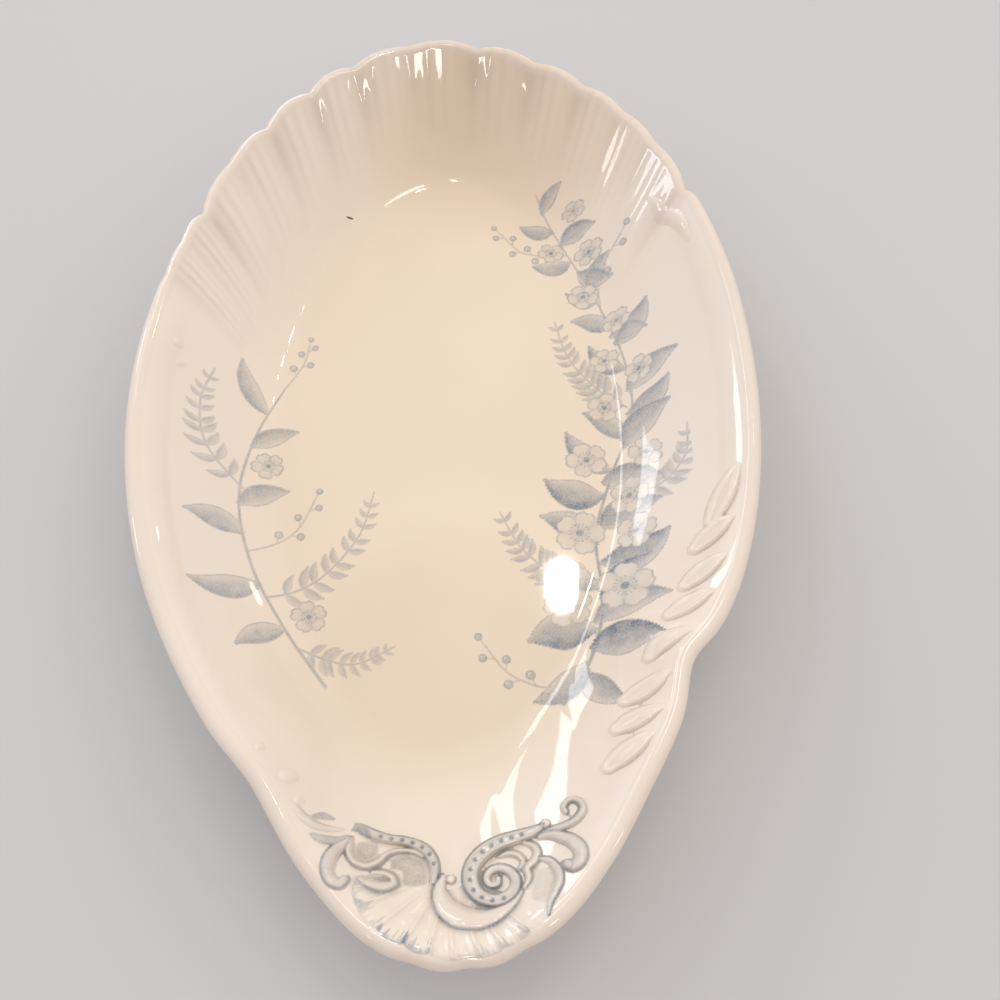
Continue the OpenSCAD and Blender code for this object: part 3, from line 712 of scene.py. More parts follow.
def ink_blossom(sheet, x, y, radius, turned, squash, tilt):
    """An open flower: notched petals with a darker throat and a ring of stamens."""
    s = sheet.near([[x, y]], radius * 1.2)
    dx, dy = sheet.X[s] - x, sheet.Y[s] - y
    c, w = math.cos(math.radians(tilt)), math.sin(math.radians(tilt))
    u, v = dx * c + dy * w, (-dx * w + dy * c) / squash
    r, th = np.hypot(u, v), np.arctan2(v, u) - math.radians(turned)
    lobe = np.abs(np.cos(PETALS * th / 2))
    edge = radius * (0.60 + 0.40 * lobe ** 0.45 - 0.07 * ease((lobe - 0.93) / 0.07))
    inside = ease((edge - r) / 0.3 + 0.5)
    split = np.arcsin(np.clip(lobe, 0, 1)) * 2 / PETALS * r
    rays = np.cos(PETALS * 3 * th)
    sheet.ink[s] *= 1 - 0.85 * inside
    for tone in (
            inside * (PETAL_WASH + 0.40 * np.exp(-r / (0.22 * radius)) + 0.24 * (1 - lobe) ** 2 * r / radius),
            0.62 * bell(r - edge, 0.2),
            0.5 * bell(split, 0.17) * inside * (r > 0.2 * radius),
            0.5 * (rays > 0.55) * ease((r - 0.2 * radius) / 0.3) * ease((0.42 * radius - r) / 0.3),
            0.72 * bell(r - 0.40 * radius, 0.22) * (rays > 0.2),
            0.75 * ease((0.16 * radius - r) / 0.25 + 0.5)):
        sheet.darken(s, tone)


def ink_berry(sheet, x, y, radius, tone):
    s = sheet.near([[x, y]], radius + 0.6)
    dx, dy = sheet.X[s] - x, sheet.Y[s] - y
    r = np.hypot(dx, dy)
    glint = bell(np.hypot(dx + 0.35 * radius, dy - 0.35 * radius), 0.4 * radius)
    sheet.darken(s, tone * ease((radius - r) / 0.3 + 0.5) * (1 - 0.75 * glint))
    sheet.darken(s, 0.7 * bell(r - radius, 0.17))


def stations(rows, shares):
    """Points and headings at shares of the length of the curve through some rows."""
    path = smooth_path(rows, 10)
    way = np.gradient(path, axis=0)
    for i in [int(share * (len(path) - 1)) for share in shares]:
        yield path[i], math.atan2(way[i, 1], way[i, 0])


def ahead(point, heading, length):
    return point + length * np.array([math.cos(heading), math.sin(heading)])


def ink_frond(sheet, rows, pairs, length, tone):
    """A fern frond: a stem with paired leaflets that shrink towards its tip."""
    ink_stroke(sheet, [(x, y, 0.24 - 0.10 * k / len(rows)) for k, (x, y) in enumerate(rows)], tone + 0.12)
    shares = [0.16 + 0.82 * k / pairs for k in range(pairs)]
    for f, (point, heading) in zip(shares, stations(rows, shares)):
        size = length * (1 - 0.75 * f) * (0.6 + 0.4 * min(1, 4 * f))
        for sign in (-1, 1):
            tip = ahead(point, heading + sign * FROND_LEAN, size)
            ink_leaf(sheet, point, tip, size * 0.36, 0.08 * sign, tone * 0.8, tone, veins=False)


def ink_sprig(sheet, rows, berries, gap, radius, tone):
    """A thin stalk whose side twigs end in berries."""
    ink_stroke(sheet, [(x, y, 0.20) for x, y in rows], tone)
    shares = [0.30 + 0.70 * k / (berries - 1) for k in range(berries)]
    for k, (point, heading) in enumerate(stations(rows, shares)):
        end = ahead(point, heading + (0 if k == berries - 1 else (-1) ** k * 0.85), gap)
        ink_stroke(sheet, [(*p, 0.13) for p in (point, (point + end) / 2, end)], tone)
        ink_berry(sheet, *end, radius * (1 - 0.3 * k / berries), tone)


# The fuller spray: a bowed branch of blossom with ferns, ovate leaves and berries
RIGHT = {
    "grid": (4, 54, -60, 78, 0.27),
    "fronds": [([(33, -28), (25, -27), (17, -21), (12, -12)], 11, 7.2, 0.42),
               ([(41, 14), (34, 20), (28, 28), (25, 38)], 11, 6.4, 0.4),
               ([(36, -6), (46, -8), (52, -3), (53, 5)], 9, 6, 0.36)],
    "stem": [(25, -56), (31, -46), (34, -33), (33, -18), (37, -3), (42, 11), (41, 26), (36, 41), (30, 54),
             (24, 66), (21, 74)],
    "stem_look": (0.42, 0.62),
    "leaves": [
        ((31, -44), (45, -45), 8, 0.1, 0.52, 0.66), ((32, -40), (18, -42), 8.4, -0.1, 0.44, 0.62),
        ((29, -49), (37, -58), 5.6, -0.08, 0.4, 0.58), ((34, -24), (48, -19), 7.6, -0.12, 0.48, 0.64),
        ((35, -8), (22, -4), 7, 0.12, 0.46, 0.62), ((40, 4), (50, 13), 6.4, 0.1, 0.44, 0.6),
        ((41.5, 18), (52, 25), 5.6, 0.1, 0.4, 0.56), ((39, 31), (46, 40), 5, -0.1, 0.38, 0.55),
        ((38, 35), (29, 38), 4.6, -0.12, 0.38, 0.55), ((33.5, 47), (38, 55), 3.8, 0.08, 0.36, 0.52),
        ((32, -38), (47, -35), 6.6, 0.14, 0.42), ((33, -30), (20, -28), 6.4, -0.1, 0.36),
        ((30, -47), (19, -55), 6, 0.12, 0.38), ((34, -34), (44, -24), 6.2, 0.1, 0.5),
        ((33, -20), (21, -13), 6.4, -0.1, 0.4), ((34, -16), (47, -11), 6.8, 0.12, 0.46),
        ((35, -5), (47, -5), 5.8, 0.14, 0.4), ((37, -2), (27, 8), 5.6, 0.1, 0.42),
        ((40, 6), (31, 13), 5, -0.1, 0.38), ((41, 12), (50, 19), 5, -0.12, 0.4),
        ((41, 24), (33, 31), 4.8, 0.12, 0.4), ((38, 33), (46, 33), 4.2, 0.12, 0.36),
        ((35, 43), (28, 46), 3.8, 0.1, 0.36), ((31, 52), (39, 49), 4.8, -0.12, 0.4),
        ((29, 55), (20, 54), 4.4, 0.12, 0.38), ((27, 60), (35, 63), 4.6, 0.12, 0.4),
        ((25, 64), (17, 66), 4, 0.1, 0.36), ((22.5, 69), (27, 75), 3.4, 0.1, 0.34)],
    "sprigs": [([(30, -50), (22, -52), (14, -49), (9, -43)], 6, 2.6, 0.95, 0.46),
               ([(36, 41), (36, 50), (41, 58)], 5, 2.3, 0.85, 0.42),
               ([(28, 57), (18, 58), (12, 64)], 6, 2.2, 0.8, 0.42)],
    "blossoms": [
        (26.5, -34, 5.4, 10, 0.9, 20), (38.5, -30.5, 6, 40, 0.94, -30), (29.5, -17, 5.6, 70, 0.92, 0),
        (41.5, -17.5, 4.6, 25, 0.86, 50), (40.5, -8.5, 4.8, 15, 0.85, 60), (31.5, 1, 4.8, 30, 0.9, 10),
        (44.5, 1.5, 4.2, 5, 0.8, -50), (36, 14.5, 4.2, 50, 0.85, 30), (44, 23, 3.6, 35, 0.8, 60),
        (36.5, 27, 3.6, 12, 0.85, 20), (39.5, 37, 3.4, 20, 0.8, 40), (32, 45, 3.8, 40, 0.88, 10),
        (33.5, 56.5, 3.6, 8, 0.82, 30), (24.5, 58, 3.2, 55, 0.86, -10), (30, 67.5, 2.8, 25, 0.8, 20)]}
# The lighter spray: a curved sprig of ferns, small leaves and berries with two blossoms
LEFT = {
    "grid": (-60, -6, -56, 34, 0.25),
    "fronds": [([(-37, -33), (-27, -28), (-19, -18), (-16, -7)], 10, 6.2, 0.36),
               ([(-44.5, -8), (-52, 0), (-54, 10), (-52, 19)], 9, 5.4, 0.34),
               ([(-30, -44), (-19, -47), (-10, -43)], 9, 4.8, 0.34)],
    "stem": [(-24, -52), (-33, -40), (-41, -26), (-45, -10), (-43, 6), (-38, 19)],
    "stem_look": (0.36, 0.52),
    "leaves": [
        ((-39, -30), (-51, -33), 5.4, 0.12, 0.34, 0.5), ((-43.5, -19), (-54, -17), 5, -0.1, 0.34, 0.5),
        ((-44.8, -12), (-35, -7), 4.8, 0.12, 0.34, 0.5), ((-43.6, 3), (-34, 8), 4.2, 0.1, 0.34, 0.5),
        ((-41, 12), (-47, 24), 4, 0.1, 0.34, 0.5), ((-33, -40), (-41, -46), 4.6, -0.1, 0.34, 0.5)],
    "sprigs": [([(-38, 19), (-34, 26), (-33, 31)], 5, 2, 0.75, 0.38),
               ([(-42, -23), (-33, -17), (-29, -9)], 5, 2.2, 0.8, 0.4)],
    "blossoms": [(-40, -1, 3.6, 20, 0.88, 30), (-28.5, -36.5, 3.9, 50, 0.9, -20)]}
STEM_TAPER = 0.03


def spray(drawing):
    sheet = Sheet(*drawing["grid"])
    for row in drawing["fronds"]:
        ink_frond(sheet, *row)
    half, tone = drawing["stem_look"]
    ink_stroke(sheet, [(x, y, half - STEM_TAPER * k) for k, (x, y) in enumerate(drawing["stem"])], tone)
    for part, draw in (("leaves", ink_leaf), ("sprigs", ink_sprig), ("blossoms", ink_blossom)):
        for row in drawing[part]:
            draw(sheet, *row)
    return sheet


# ---------------- meshes
# Millimetres: how far a patch lies over its sheet, its border under it, and its underside below that
LIFT = 0.03
SINK = 0.06
BED = 0.7
# Rounds that fill cells which touch at a corner only, so the piece stays closed
MENDS = 6
# The map for baking: width of each half and the gaps beside them
MAP_SPAN, MAP_GAP = 0.49, 0.005
UP, DOWN = [0.0, 0.0, 1.0], [0.0, 0.0, -1.0]


def put(name, data):
    """A new object in the scene."""
    thing = bpy.data.objects.new(name, data)
    bpy.context.scene.collection.objects.link(thing)
    return thing


def read(items, field, width, kind):
    """A field of mesh elements as an array."""
    values = np.empty(len(items) * width, kind)
    items.foreach_get(field, values)
    return values


def add_bake_map(mesh, top_faces):
    """A plan view of the piece: its upper faces in the left half of the map, the rest in the right."""
    co = read(mesh.vertices, "co", 3, float).reshape(-1, 3)
    corner = read(mesh.loops, "vertex_index", 1, int)
    under = np.repeat(~top_faces, read(mesh.polygons, "loop_total", 1, int))
    low, span = co.min(0), max(np.ptp(co[:, 0]), np.ptp(co[:, 1]) / 2)
    u = (co[corner, 0] - low[0]) / span * MAP_SPAN + np.where(under, 0.5 + MAP_GAP, MAP_GAP)
    v = (co[corner, 1] - low[1]) / span * MAP_SPAN + MAP_GAP
    mesh.uv_layers.new(name="OFBake").data.foreach_set("uv", np.c_[u, v].ravel().astype(np.float32))


def make_piece(name, points, faces, slot, material, replaced=(), normals=None, top_faces=None, **fields):
    """A piece of the dish. Its fields are numbers at its points, and top_faces lays out its map."""
    mesh = bpy.data.meshes.new(name)
    mesh.from_pydata(points * MM, [], faces)
    mesh.validate()
    mesh.shade_smooth()
    mesh.materials.append(material)
    piece = put(name, mesh)
    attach(piece, "root")
    if replaced:
        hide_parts(*replaced)
    if normals is not None:
        mesh.normals_split_custom_set_from_vertices(normals)
    for field, values in fields.items():
        mesh.attributes.new(field, "FLOAT", "POINT").data.foreach_set("value", np.float32(values))
    if top_faces is not None:
        add_bake_map(mesh, top_faces)


def slopes(x, y, step=0.08):
    """Upward normals of the dish's surface at plan points."""
    gx = (dish_height(x + step, y) - dish_height(x - step, y)) / (2 * step)
    gy = (dish_height(x, y + step) - dish_height(x, y - step)) / (2 * step)
    n = np.c_[-gx, -gy, np.ones_like(gx)]
    return n / np.linalg.norm(n, axis=1)[:, None]


def patch(name, sheet, mask, slot, material, replaced=()):
    """A closed piece under the masked points of a sheet, its border sunk into the clay."""
    grow = mask.copy()
    for dy in (-1, 0, 1):
        for dx in (-1, 0, 1):
            grow |= np.roll(np.roll(mask, dy, 0), dx, 1)
    cells = grow[:-1, :-1] & grow[1:, :-1] & grow[:-1, 1:] & grow[1:, 1:]
    cells[0, :] = cells[-1, :] = cells[:, 0] = cells[:, -1] = False
    for _ in range(MENDS):
        a, b, c, d = cells[:-1, :-1], cells[1:, :-1], cells[:-1, 1:], cells[1:, 1:]
        touch = (a & d & ~b & ~c) | (b & c & ~a & ~d)
        if not touch.any():
            break
        for j, i in zip(*np.nonzero(touch)):
            cells[j:j + 2, i:i + 2] = True
    padded = np.pad(cells, 1)
    rows, columns = sheet.X.shape
    count = sum(padded[j:j + rows, i:i + columns].astype(int) for j in (0, 1) for i in (0, 1))
    used, border = count > 0, (count > 0) & (count < 4)
    index = np.full(sheet.X.shape, -1)
    index[used] = np.arange(used.sum())
    total = sheet.surface()
    gy, gx = np.gradient(total, sheet.y, sheet.x)
    normal = np.c_[-gx[used], -gy[used], np.ones(used.sum())]
    normal /= np.linalg.norm(normal, axis=1)[:, None]
    top = np.c_[sheet.X[used], sheet.Y[used], total[used] + np.where(border[used], -SINK, LIFT)]
    floor_z = np.minimum(sheet.base, total) - BED
    bottom = np.c_[sheet.X[used], sheet.Y[used], floor_z[used]]
    n = len(top)
    j, i = np.nonzero(cells)
    a, b, c, d = index[j, i], index[j, i + 1], index[j + 1, i + 1], index[j + 1, i]
    quads = [np.c_[a, b, c, d], np.c_[d + n, c + n, b + n, a + n]]
    for dj, di, p, q in ((-1, 0, a, b), (0, 1, b, c), (1, 0, c, d), (0, -1, d, a)):
        open_side = ~padded[j + 1 + dj, i + 1 + di]
        quads.append(np.c_[q[open_side], p[open_side], p[open_side] + n, q[open_side] + n])
    faces = np.vstack(quads)
    fields = {key: np.concatenate([getattr(sheet, key)[used], np.zeros(n)])
              for key in ("ink", "shade", "pooled")}
    make_piece(name, np.vstack([top, bottom]), faces.tolist(), slot, material, replaced,
               np.vstack([normal, np.tile(DOWN, (n, 1))]), np.arange(len(faces)) < len(a), **fields)


FLUTE_COLUMNS = 34
SMOOTH_STEP = 0.8
WALL_RINGS = 46
ROLL_RINGS = 12
NOSE_RINGS = 14
LIP_POOL_SHADE_RINGS = 8
UNDER_RINGS = 22
FLOOR_RINGS = 16
# Share of the wall at which the underside starts, under the crown
UNDER_FROM = 0.98


def dish_columns():
    """Angles of the dish's columns: closer in each flute, wider round the plain sides."""
    angles = [angle for angle, _ in CREASES] + [CREASES[0][0] + 360]
    steps = [FLUTE_COLUMNS] * (len(CREASES) - 1) + [round((angles[-1] - angles[-2]) / SMOOTH_STEP)]
    return np.array([a + (b - a) * k / n for a, b, n in zip(angles, angles[1:], steps) for k in range(n)])


def ring_faces(n, pairs):
    """Faces between pairs of rings of n points each."""
    i = np.arange(n)
    j = (i + 1) % n
    return np.vstack([np.c_[k * n + i, q * n + i, q * n + j, k * n + j] for k, q in pairs]).tolist()


def dish_piece(material):
    c = dish_columns()
    n = len(c)
    roll_at = ROLL_W / wall("run", c)
    shares = [np.zeros(n)]
    shares += [(k / WALL_RINGS) ** 1.25 * (1 - roll_at) for k in range(1, WALL_RINGS + 1)]
    shares += [1 - roll_at * (1 - k / ROLL_RINGS) for k in range(1, ROLL_RINGS + 1)]
    _, cut = grooves(c)

    def place(u):
        b = c + sweep(c) * (1 - u) ** SWEEP_POWER
        low, high = wall_span(b, cut)
        return b, np.c_[plan(b, low + u * (high - low))]

    rings, normals, pool = [], [], []
    _, rim_of_floor = place(np.zeros(n))
    for k in range(1, FLOOR_RINGS):
        rings.append(np.c_[rim_of_floor * (k / FLOOR_RINGS) ** 0.8, np.full(n, FLOOR_Z)])
        normals.append(np.tile(UP, (n, 1)))
    for u in shares:
        b, xy = place(u)
        rings.append(np.c_[xy, wall_height(b, c, u)])
        normals.append(slopes(*xy.T))
        pool.append(pooled(b, c, u))
    crown = rings[-1]
    o = np.array(rim_out(c)).T
    lean, edge = wall("lean", c)[:, None], wall("edge", c)[:, None]
    up = np.c_[-o * np.sin(lean), np.cos(lean)]
    out = np.c_[o * np.cos(lean), np.sin(lean)]
    normals[-1] = up
    for k in range(1, NOSE_RINGS + 1):
        f = math.pi * k / NOSE_RINGS
        rings.append(crown + edge / 2 * (up * (math.cos(f) - 1) + out * math.sin(f)))
        normals.append(up * math.cos(f) + out * math.sin(f))
    for k in range(1, UNDER_RINGS + 1):
        u = np.full(n, (1 - k / UNDER_RINGS) * UNDER_FROM)
        b, xy = place(u)
        way = slopes(*xy.T, 0.6)
        thick = FLOOR_T + (edge - FLOOR_T) * ease(2 * u)[:, None]
        rings.append(np.c_[xy, wall_height(b, c, u)] - way * thick)
        normals.append(-way)
    rows = len(rings)
    middle = rows * n
    i = np.arange(n)
    j = (i + 1) % n
    sides = ring_faces(n, zip(range(rows - 1), range(1, rows)))
    top_cap = np.c_[np.full(n, middle), i, j].tolist()
    under_cap = np.c_[np.full(n, middle + 1), middle - n + j, middle - n + i].tolist()
    points = np.vstack(rings + [[[0, 0, FLOOR_Z]], [[0, 0, FOOT_H]]])
    rim_field, pool_shade_field = np.zeros((2, len(points)))
    rim_field[(rows - UNDER_RINGS - NOSE_RINGS - 2) * n:(rows - UNDER_RINGS) * n] = 1
    # The grooves' painted shade runs on over the lip's nose
    pool += [pool[-1] * ease(1.3 - k / LIP_POOL_SHADE_RINGS) for k in range(1, LIP_POOL_SHADE_RINGS + 1)]
    pool_shade_field[(FLOOR_RINGS - 1) * n:(FLOOR_RINGS - 1 + len(pool)) * n] = np.concatenate(pool)
    upper = np.zeros(len(sides) + 2 * n, bool)
    upper[:n * (FLOOR_RINGS + len(shares) - 2 + NOSE_RINGS // 2)] = True
    upper[len(sides):len(sides) + n] = True
    make_piece("dish", points, sides + top_cap + under_cap, "glazed_body", material, ("dish_body",),
               np.vstack(normals + [[UP], [DOWN]]), upper, rim=rim_field, pooled=pool_shade_field)


# Profile of the foot ring: distance out from its middle line as a share of its width, and height
FOOT_PROFILE = [(-0.95, 1.08), (-0.72, 0.94), (-0.60, 0.72), (-0.54, 0.40), (-0.48, 0.16), (-0.36, 0.03),
                (-0.22, 0.0), (0.22, 0.0), (0.36, 0.03), (0.48, 0.16), (0.54, 0.40), (0.60, 0.72),
                (0.74, 0.94), (1.0, 1.08), (0.9, 1.35), (-0.9, 1.35)]
FOOT_POINTS = 240
# The foot's rim is bare below this share of its height
BARE_BELOW = 0.1


def foot_piece(material):
    n, count = FOOT_POINTS, len(FOOT_PROFILE)
    a = np.linspace(0, 2 * math.pi, n, endpoint=False)
    points = []
    for share, height in FOOT_PROFILE:
        inset = FOOT_INSET + FOOT_W / 2 - share * FOOT_W
        x, y = (FLOOR_W / 2 - inset) * np.cos(a), FLOOR_SHIFT + (FLOOR_L / 2 - inset) * np.sin(a)
        points.append(np.c_[x, y, np.full(n, FOOT_H * height)])
    faces = ring_faces(n, [(k, (k + 1) % count) for k in range(count)])
    bare = np.repeat([height < BARE_BELOW for _, height in FOOT_PROFILE], n)
    make_piece("foot", np.vstack(points), faces, "glazed_body", material, ("foot_ring",), bare=bare)


# ---------------- materials
CREAM = (0.850, 0.765, 0.680, 1)
WELL_CREAM = (0.845, 0.730, 0.590, 1)
RIM_CREAM = (0.820, 0.715, 0.625, 1)
FAR_WALL_SHADE = (0.800, 0.655, 0.505, 1)
NEAR_WELL_SHADE = (0.770, 0.655, 0.520, 1)
INK = (0.110, 0.170, 0.245, 1)
SHADE = (0.345, 0.315, 0.285, 1)
POOLED_SHADE = (0.500, 0.400, 0.310, 1)
SPECK = (0.16, 0.10, 0.06, 1)
BISCUIT = (0.70, 0.58, 0.44, 1)
# The cream is warmer over the floor: shares of the floor's size where that ends and starts
WELL_FADE = (2.1, 0.75)
# Ovals of painted shade, darker and warmer, over the far wall and the near end of the well: place, half
# length and half width, in metres, share, tone
SHADE_OVALS = [(0.014, 0.088, 0.036, 0.026, 0.85, FAR_WALL_SHADE), (0.000, -0.044, 0.036, 0.028, 0.75, NEAR_WELL_SHADE)]
# One large kiln speck: place, half length and half width, in metres
KILN_SPECK = (-0.0252, 0.0675, 0.0009, 0.0003)
GLAZE_IOR = 1.64
# Ripple in the gloss: strength, and depth in metres
RIPPLE = (0.6, 0.00002)


class Nodes:
    """Short calls for building the node tree of a material or world."""

    def __init__(self, owner, coordinates="Object"):
        owner.use_nodes = True
        self.tree = owner.node_tree
        self.place = self.add("ShaderNodeTexCoord").outputs[coordinates]

    def add(self, kind, **settings):
        node = self.tree.nodes.new(kind)
        for key, value in settings.items():
            setattr(node, key, value)
        return node

    def feed(self, node, **inputs):
        """Set or link a node's inputs, an underscore for each space in their names."""
        for key, value in inputs.items():
            self.plug(value, node.inputs[key.replace("_", " ")])
        return node

    def plug(self, value, socket):
        if isinstance(value, bpy.types.NodeSocket):
            self.tree.links.new(value, socket)
        else:
            socket.default_value = value

    def noise(self, scale, detail, low=0.0, high=1.0, rough=0.5):
        """Soft noise between two values."""
        node = self.feed(self.add("ShaderNodeTexNoise"), Scale=scale, Detail=detail, Roughness=rough,
                         Vector=self.place)
        return self.ramp(node.outputs["Fac"], 0.3, 0.7, low, high)

    def attribute(self, name):
        return self.add("ShaderNodeAttribute", attribute_name=name).outputs["Fac"]

    def ramp(self, value, low, high, to_low=0.0, to_high=1.0):
        node = self.add("ShaderNodeMapRange", interpolation_type="SMOOTHSTEP")
        if low > high:
            low, high, to_low, to_high = high, low, to_high, to_low
        self.feed(node, Value=value, From_Min=low, From_Max=high, To_Min=to_low, To_Max=to_high)
        return node.outputs["Result"]

    def math(self, how, *values, kind="ShaderNodeMath", out=0):
        node = self.add(kind, operation=how)
        for socket, value in zip(node.inputs, values):
            self.plug(value, socket)
        return node.outputs[out]

    def times(self, a, b):
        return self.math("MULTIPLY", a, b)

    def mix(self, share, a, b):
        node = self.add("ShaderNodeMix", data_type="RGBA")
        for index, value in ((0, share), (6, a), (7, b)):
            self.plug(value, node.inputs[index])
        return node.outputs[2]

    def oval(self, x, y, half_x, half_y):
        """Squared distance from a plan point, as a share of an oval's half sizes."""
        split = self.feed(self.add("ShaderNodeSeparateXYZ"), Vector=self.place)
        parts = []
        for axis, middle, half in (("X", x, half_x), ("Y", y, half_y)):
            offset = self.times(self.math("SUBTRACT", split.outputs[axis], middle), 1 / half)
            parts.append(self.times(offset, offset))
        return self.math("ADD", *parts)


def glaze(name, bare=False):
    """Clear lead glaze over cream earthenware, with underglaze colour where a piece carries some."""
    material = bpy.data.materials.new(name)
    m = Nodes(material)
    well = m.ramp(m.oval(0.0, FLOOR_SHIFT * MM, FLOOR_W / 2 * MM, FLOOR_L / 2 * MM), *WELL_FADE)
    colour = m.mix(well, CREAM, WELL_CREAM)
    # Painted shade over the far wall and the near end of the well
    for *oval, share, tone in SHADE_OVALS:
        colour = m.mix(m.ramp(m.oval(*oval), 1.5, 0.1, 0.0, share), colour, tone)
    colour = m.mix(m.times(m.attribute("rim"), 0.6), colour, RIM_CREAM)
    cloud = m.feed(m.add("ShaderNodeHueSaturation"), Color=colour, Value=m.noise(22, 3, 0.975, 1.02))
    grain = m.times(m.noise(2600, 2, 0.78, 1.15, rough=0.7), m.noise(320, 3, 0.85, 1.12))
    # Painted shade in the flute grooves, which also stands for glaze pooled there
    colour = m.mix(m.times(m.attribute("pooled"), 0.55), cloud.outputs["Color"], POOLED_SHADE)
    for field, tint in (("shade", SHADE), ("ink", INK)):
        colour = m.mix(m.times(m.attribute(field), grain), colour, tint)
    cells = m.feed(m.add("ShaderNodeTexVoronoi"), Scale=95, Vector=m.place)
    tone = m.feed(m.add("ShaderNodeSeparateColor"), Color=cells.outputs["Color"])
    rare = m.math("GREATER_THAN", tone.outputs["Red"], 0.95)
    speck = m.times(m.ramp(cells.outputs["Distance"], 0.030, 0.012), rare)
    colour = m.mix(m.times(speck, 0.5), colour, SPECK)
    colour = m.mix(m.ramp(m.oval(*KILN_SPECK), 1.2, 0.6), colour, SPECK)
    gloss = m.noise(60, 2, 0.025, 0.055)
    if bare:
        colour = m.mix(m.attribute("bare"), colour, BISCUIT)
        gloss = m.math("ADD", gloss, m.times(m.attribute("bare"), 0.6))
    strength, distance = RIPPLE
    height = m.feed(m.add("ShaderNodeTexNoise"), Scale=150, Detail=2, Vector=m.place).outputs["Fac"]
    bump = m.feed(m.add("ShaderNodeBump"), Strength=strength, Distance=distance, Height=height)
    m.feed(m.tree.nodes["Principled BSDF"], Base_Color=colour, Roughness=gloss, IOR=GLAZE_IOR,
           Normal=bump.outputs["Normal"])
    return material


# ---------------- the pieces
rng = np.random.default_rng(7)
body_glaze = glaze("glaze")
dish_piece(body_glaze)
foot_piece(glaze("glaze_foot", bare=True))

strokes = [feather(*row) for row in FEATHERS]
feathers = wall_ornament("side_feathers", (30, 63.5, -78, -4), 0.26, 0.17, strokes, BEADS[5:], "lobe")
feathers.pool(*FEATHER_POOL_SHADE)
for sheet in (handle_ornament(rng), feathers,
              wall_ornament("rim_break_scroll", (44, 57.5, 45, 66), 0.26, 0.3, [BREAK]),
              wall_ornament("bead_trail", (-36, -20, -81, -64), 0.24, 0.22, beads=BEADS[:3]),
              wall_ornament("bead_trail", (-66, -52, 12, 28), 0.24, 0.22, beads=BEADS[3:5])):
    for number, node in enumerate(NODES):
        mask = (sheet.owner == number) & sheet.clear
        if mask.any():
            slot = "tinted_relief" if node in TINTED else "glazed_relief"
            patch("moulded_" + node, sheet, mask, slot, body_glaze, (node,))

for name, drawing in (("printed_spray_right", RIGHT), ("printed_spray_left", LEFT)):
    sheet = spray(drawing)
    patch(name, sheet, (sheet.ink > LEAST_INK) & sheet.clear, "glazed_body", body_glaze)


# ---------------- floor, light and camera
FLOOR_SIZE = 4.0


def floor():
    mesh = bpy.data.meshes.new("floor")
    h = FLOOR_SIZE / 2
    mesh.from_pydata([(-h, -h, 0), (h, -h, 0), (h, h, 0), (-h, h, 0)], [], [(0, 1, 2, 3)])
    material = bpy.data.materials.new("floor")
    mesh.materials.append(material)
    m = Nodes(material)
    m.feed(m.tree.nodes["Principled BSDF"], Roughness=0.9, Specular_IOR_Level=0.1,
           Base_Color=m.mix(m.noise(3, 2), (0.62, 0.63, 0.65, 1), (0.60, 0.61, 0.63, 1)))
    put("floor", mesh)


# Broad soft light from the room: direction, breadth (cosine where it ends), colour
ROOM = [((8, 80), 0.1, (0.235, 0.185, 0.115)), ((90, 20), 0, (0.63, 0.615, 0.65)),
        ((-90, 20), 0, (0.48, 0.505, 0.62)), ((0, 25), 0, (0.41, 0.4, 0.37)),
        ((180, 25), 0, (0.08, 0.05, 0.02))]
ROOM_BASE = (0.152, 0.146, 0.132)
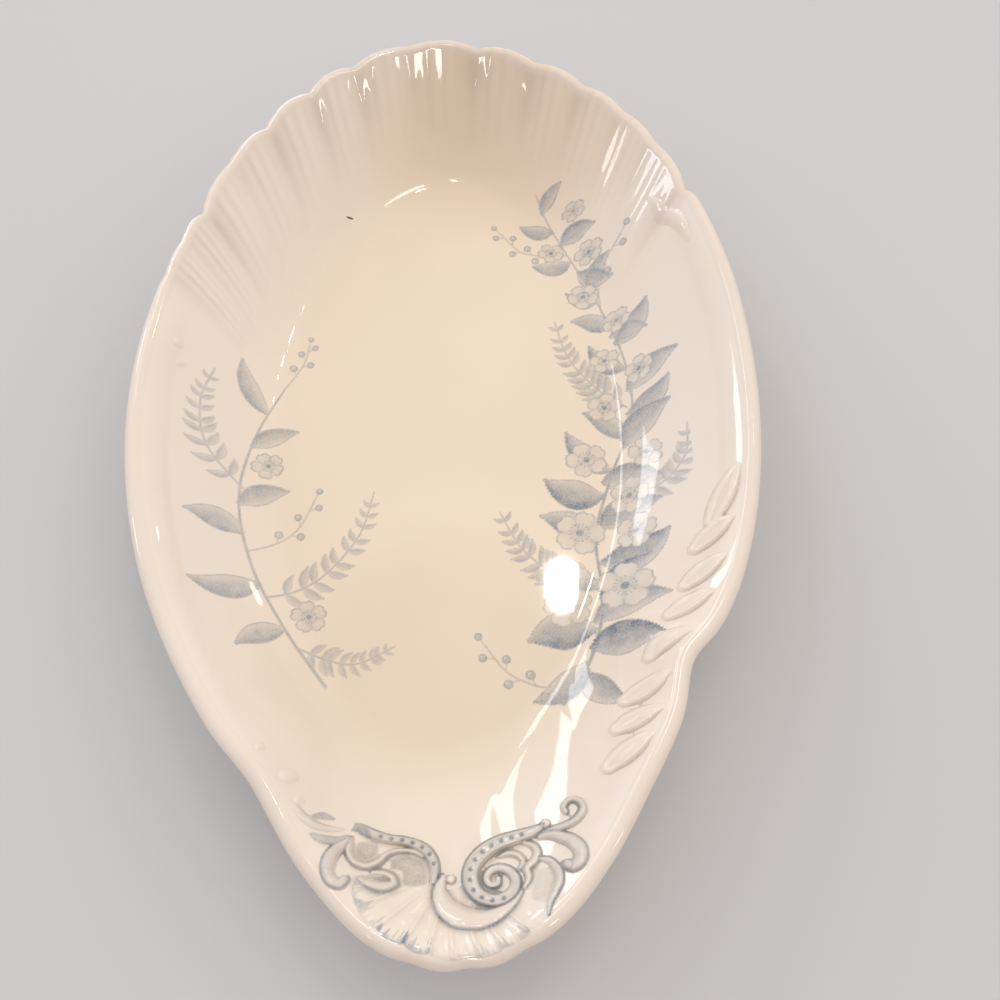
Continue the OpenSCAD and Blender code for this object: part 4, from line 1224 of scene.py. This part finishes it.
# Panes and lamps: name, azimuth, elevation, distance, width, height, turn, radiance, and a pane's colour
WINDOW = (0.90, 0.96, 1.0)
WARM = (1.0, 0.95, 0.86)
PANES = [("window", -25, 24, 1.5, 0.3, 0.36, 0, 3.8, WINDOW),
         ("side_pane", -54, 22, 1.5, 0.15, 0.26, 0, 4.6, WINDOW),
         ("far_side_pane", -79, 22, 1.5, 0.14, 0.28, 0, 4.6, WINDOW),
         ("curtain_low", -42, 20, 1.5, 0.09, 0.8, 0, 4.2, WINDOW),
         ("curtain_high", -35, 44, 1.5, 0.1, 0.48, -22, 4.6, WINDOW),
         ("far_low", 8, 6, 1.8, 0.3, 0.16, 0, 1.6, WARM)]
LAMPS = [("lamp", 13, 70, 1, 0.034, 0.056, 12, 34),
         ("lamp_behind", 173, 48, 1.3, 0.09, 0.17, 0, 10),
         ("lamp_above", -20, 82, 1.1, 0.05, 0.09, 0, 12),
         ("lamp_far", 36, 72.5, 1, 0.12, 0.19, 0, 6),
         ("lamp_side", 45, 52, 1.2, 0.04, 0.06, 0, 16),
         ("behind_left", -143, 40, 1.3, 0.05, 0.1, 0, 10),
         ("behind_right", 139, 42, 1.3, 0.06, 0.17, 0, 10),
         ("right_side", 116, 35, 1.3, 0.06, 0.14, 0, 10),
         ("glint", 46, 14, 1.6, 0.03, 0.09, 0, 7)]


def way_to(azimuth, elevation):
    a, e = math.radians(azimuth), math.radians(elevation)
    return Vector((math.sin(a) * math.cos(e), math.cos(a) * math.cos(e), math.sin(e)))


def area_light(name, azimuth, elevation, distance, width, height, turn, radiance, colour, shape="RECTANGLE"):
    """An area light aimed at the dish. Azimuth 0 is towards +Y, 90 towards +X."""
    light = bpy.data.lights.new(name, "AREA")
    light.shape = shape
    light.size, light.size_y = width, height
    light.energy = math.pi * width * height * radiance * (math.pi / 4 if shape == "ELLIPSE" else 1)
    light.color = colour
    lamp = put(name, light)
    way = way_to(azimuth, elevation)
    lamp.location = way * distance
    facing = (-way).to_track_quat("-Z", "Y") @ Quaternion((0, 0, 1), math.radians(turn))
    lamp.rotation_euler = facing.to_euler()


def room():
    """A world whose light falls off smoothly around a few directions, so no edge shows in the glaze."""
    world = bpy.data.worlds.new("room")
    m = Nodes(world, "Generated")
    total = ROOM_BASE
    for direction, end, colour in ROOM:
        dot = m.math("DOT_PRODUCT", m.place, way_to(*direction), kind="ShaderNodeVectorMath", out="Value")
        total = m.math("MULTIPLY_ADD", m.ramp(dot, end, 1.0), colour, total, kind="ShaderNodeVectorMath")
    m.feed(m.tree.nodes["Background"], Color=total)
    bpy.context.scene.world = world


# The camera, from the photo's perspective: lens and sensor in mm, place and clipping in m, tilt in degrees
LENS, SENSOR = 43.2, 36
EYE = (0.0120, -0.1230, 0.2467)
CLIP = (0.01, 20)
TILT = 25.34


def camera():
    data = bpy.data.cameras.new("camera")
    data.lens, data.sensor_width = LENS, SENSOR
    data.clip_start, data.clip_end = CLIP
    eye = put("camera", data)
    eye.location = EYE
    eye.rotation_euler = (math.radians(TILT), 0, 0)
    bpy.context.scene.camera = eye


floor()
room()
for row in PANES:
    area_light(*row)
for row in LAMPS:
    area_light(*row, WARM, "ELLIPSE")
camera()
bpy.context.scene.view_settings.view_transform = "Standard"
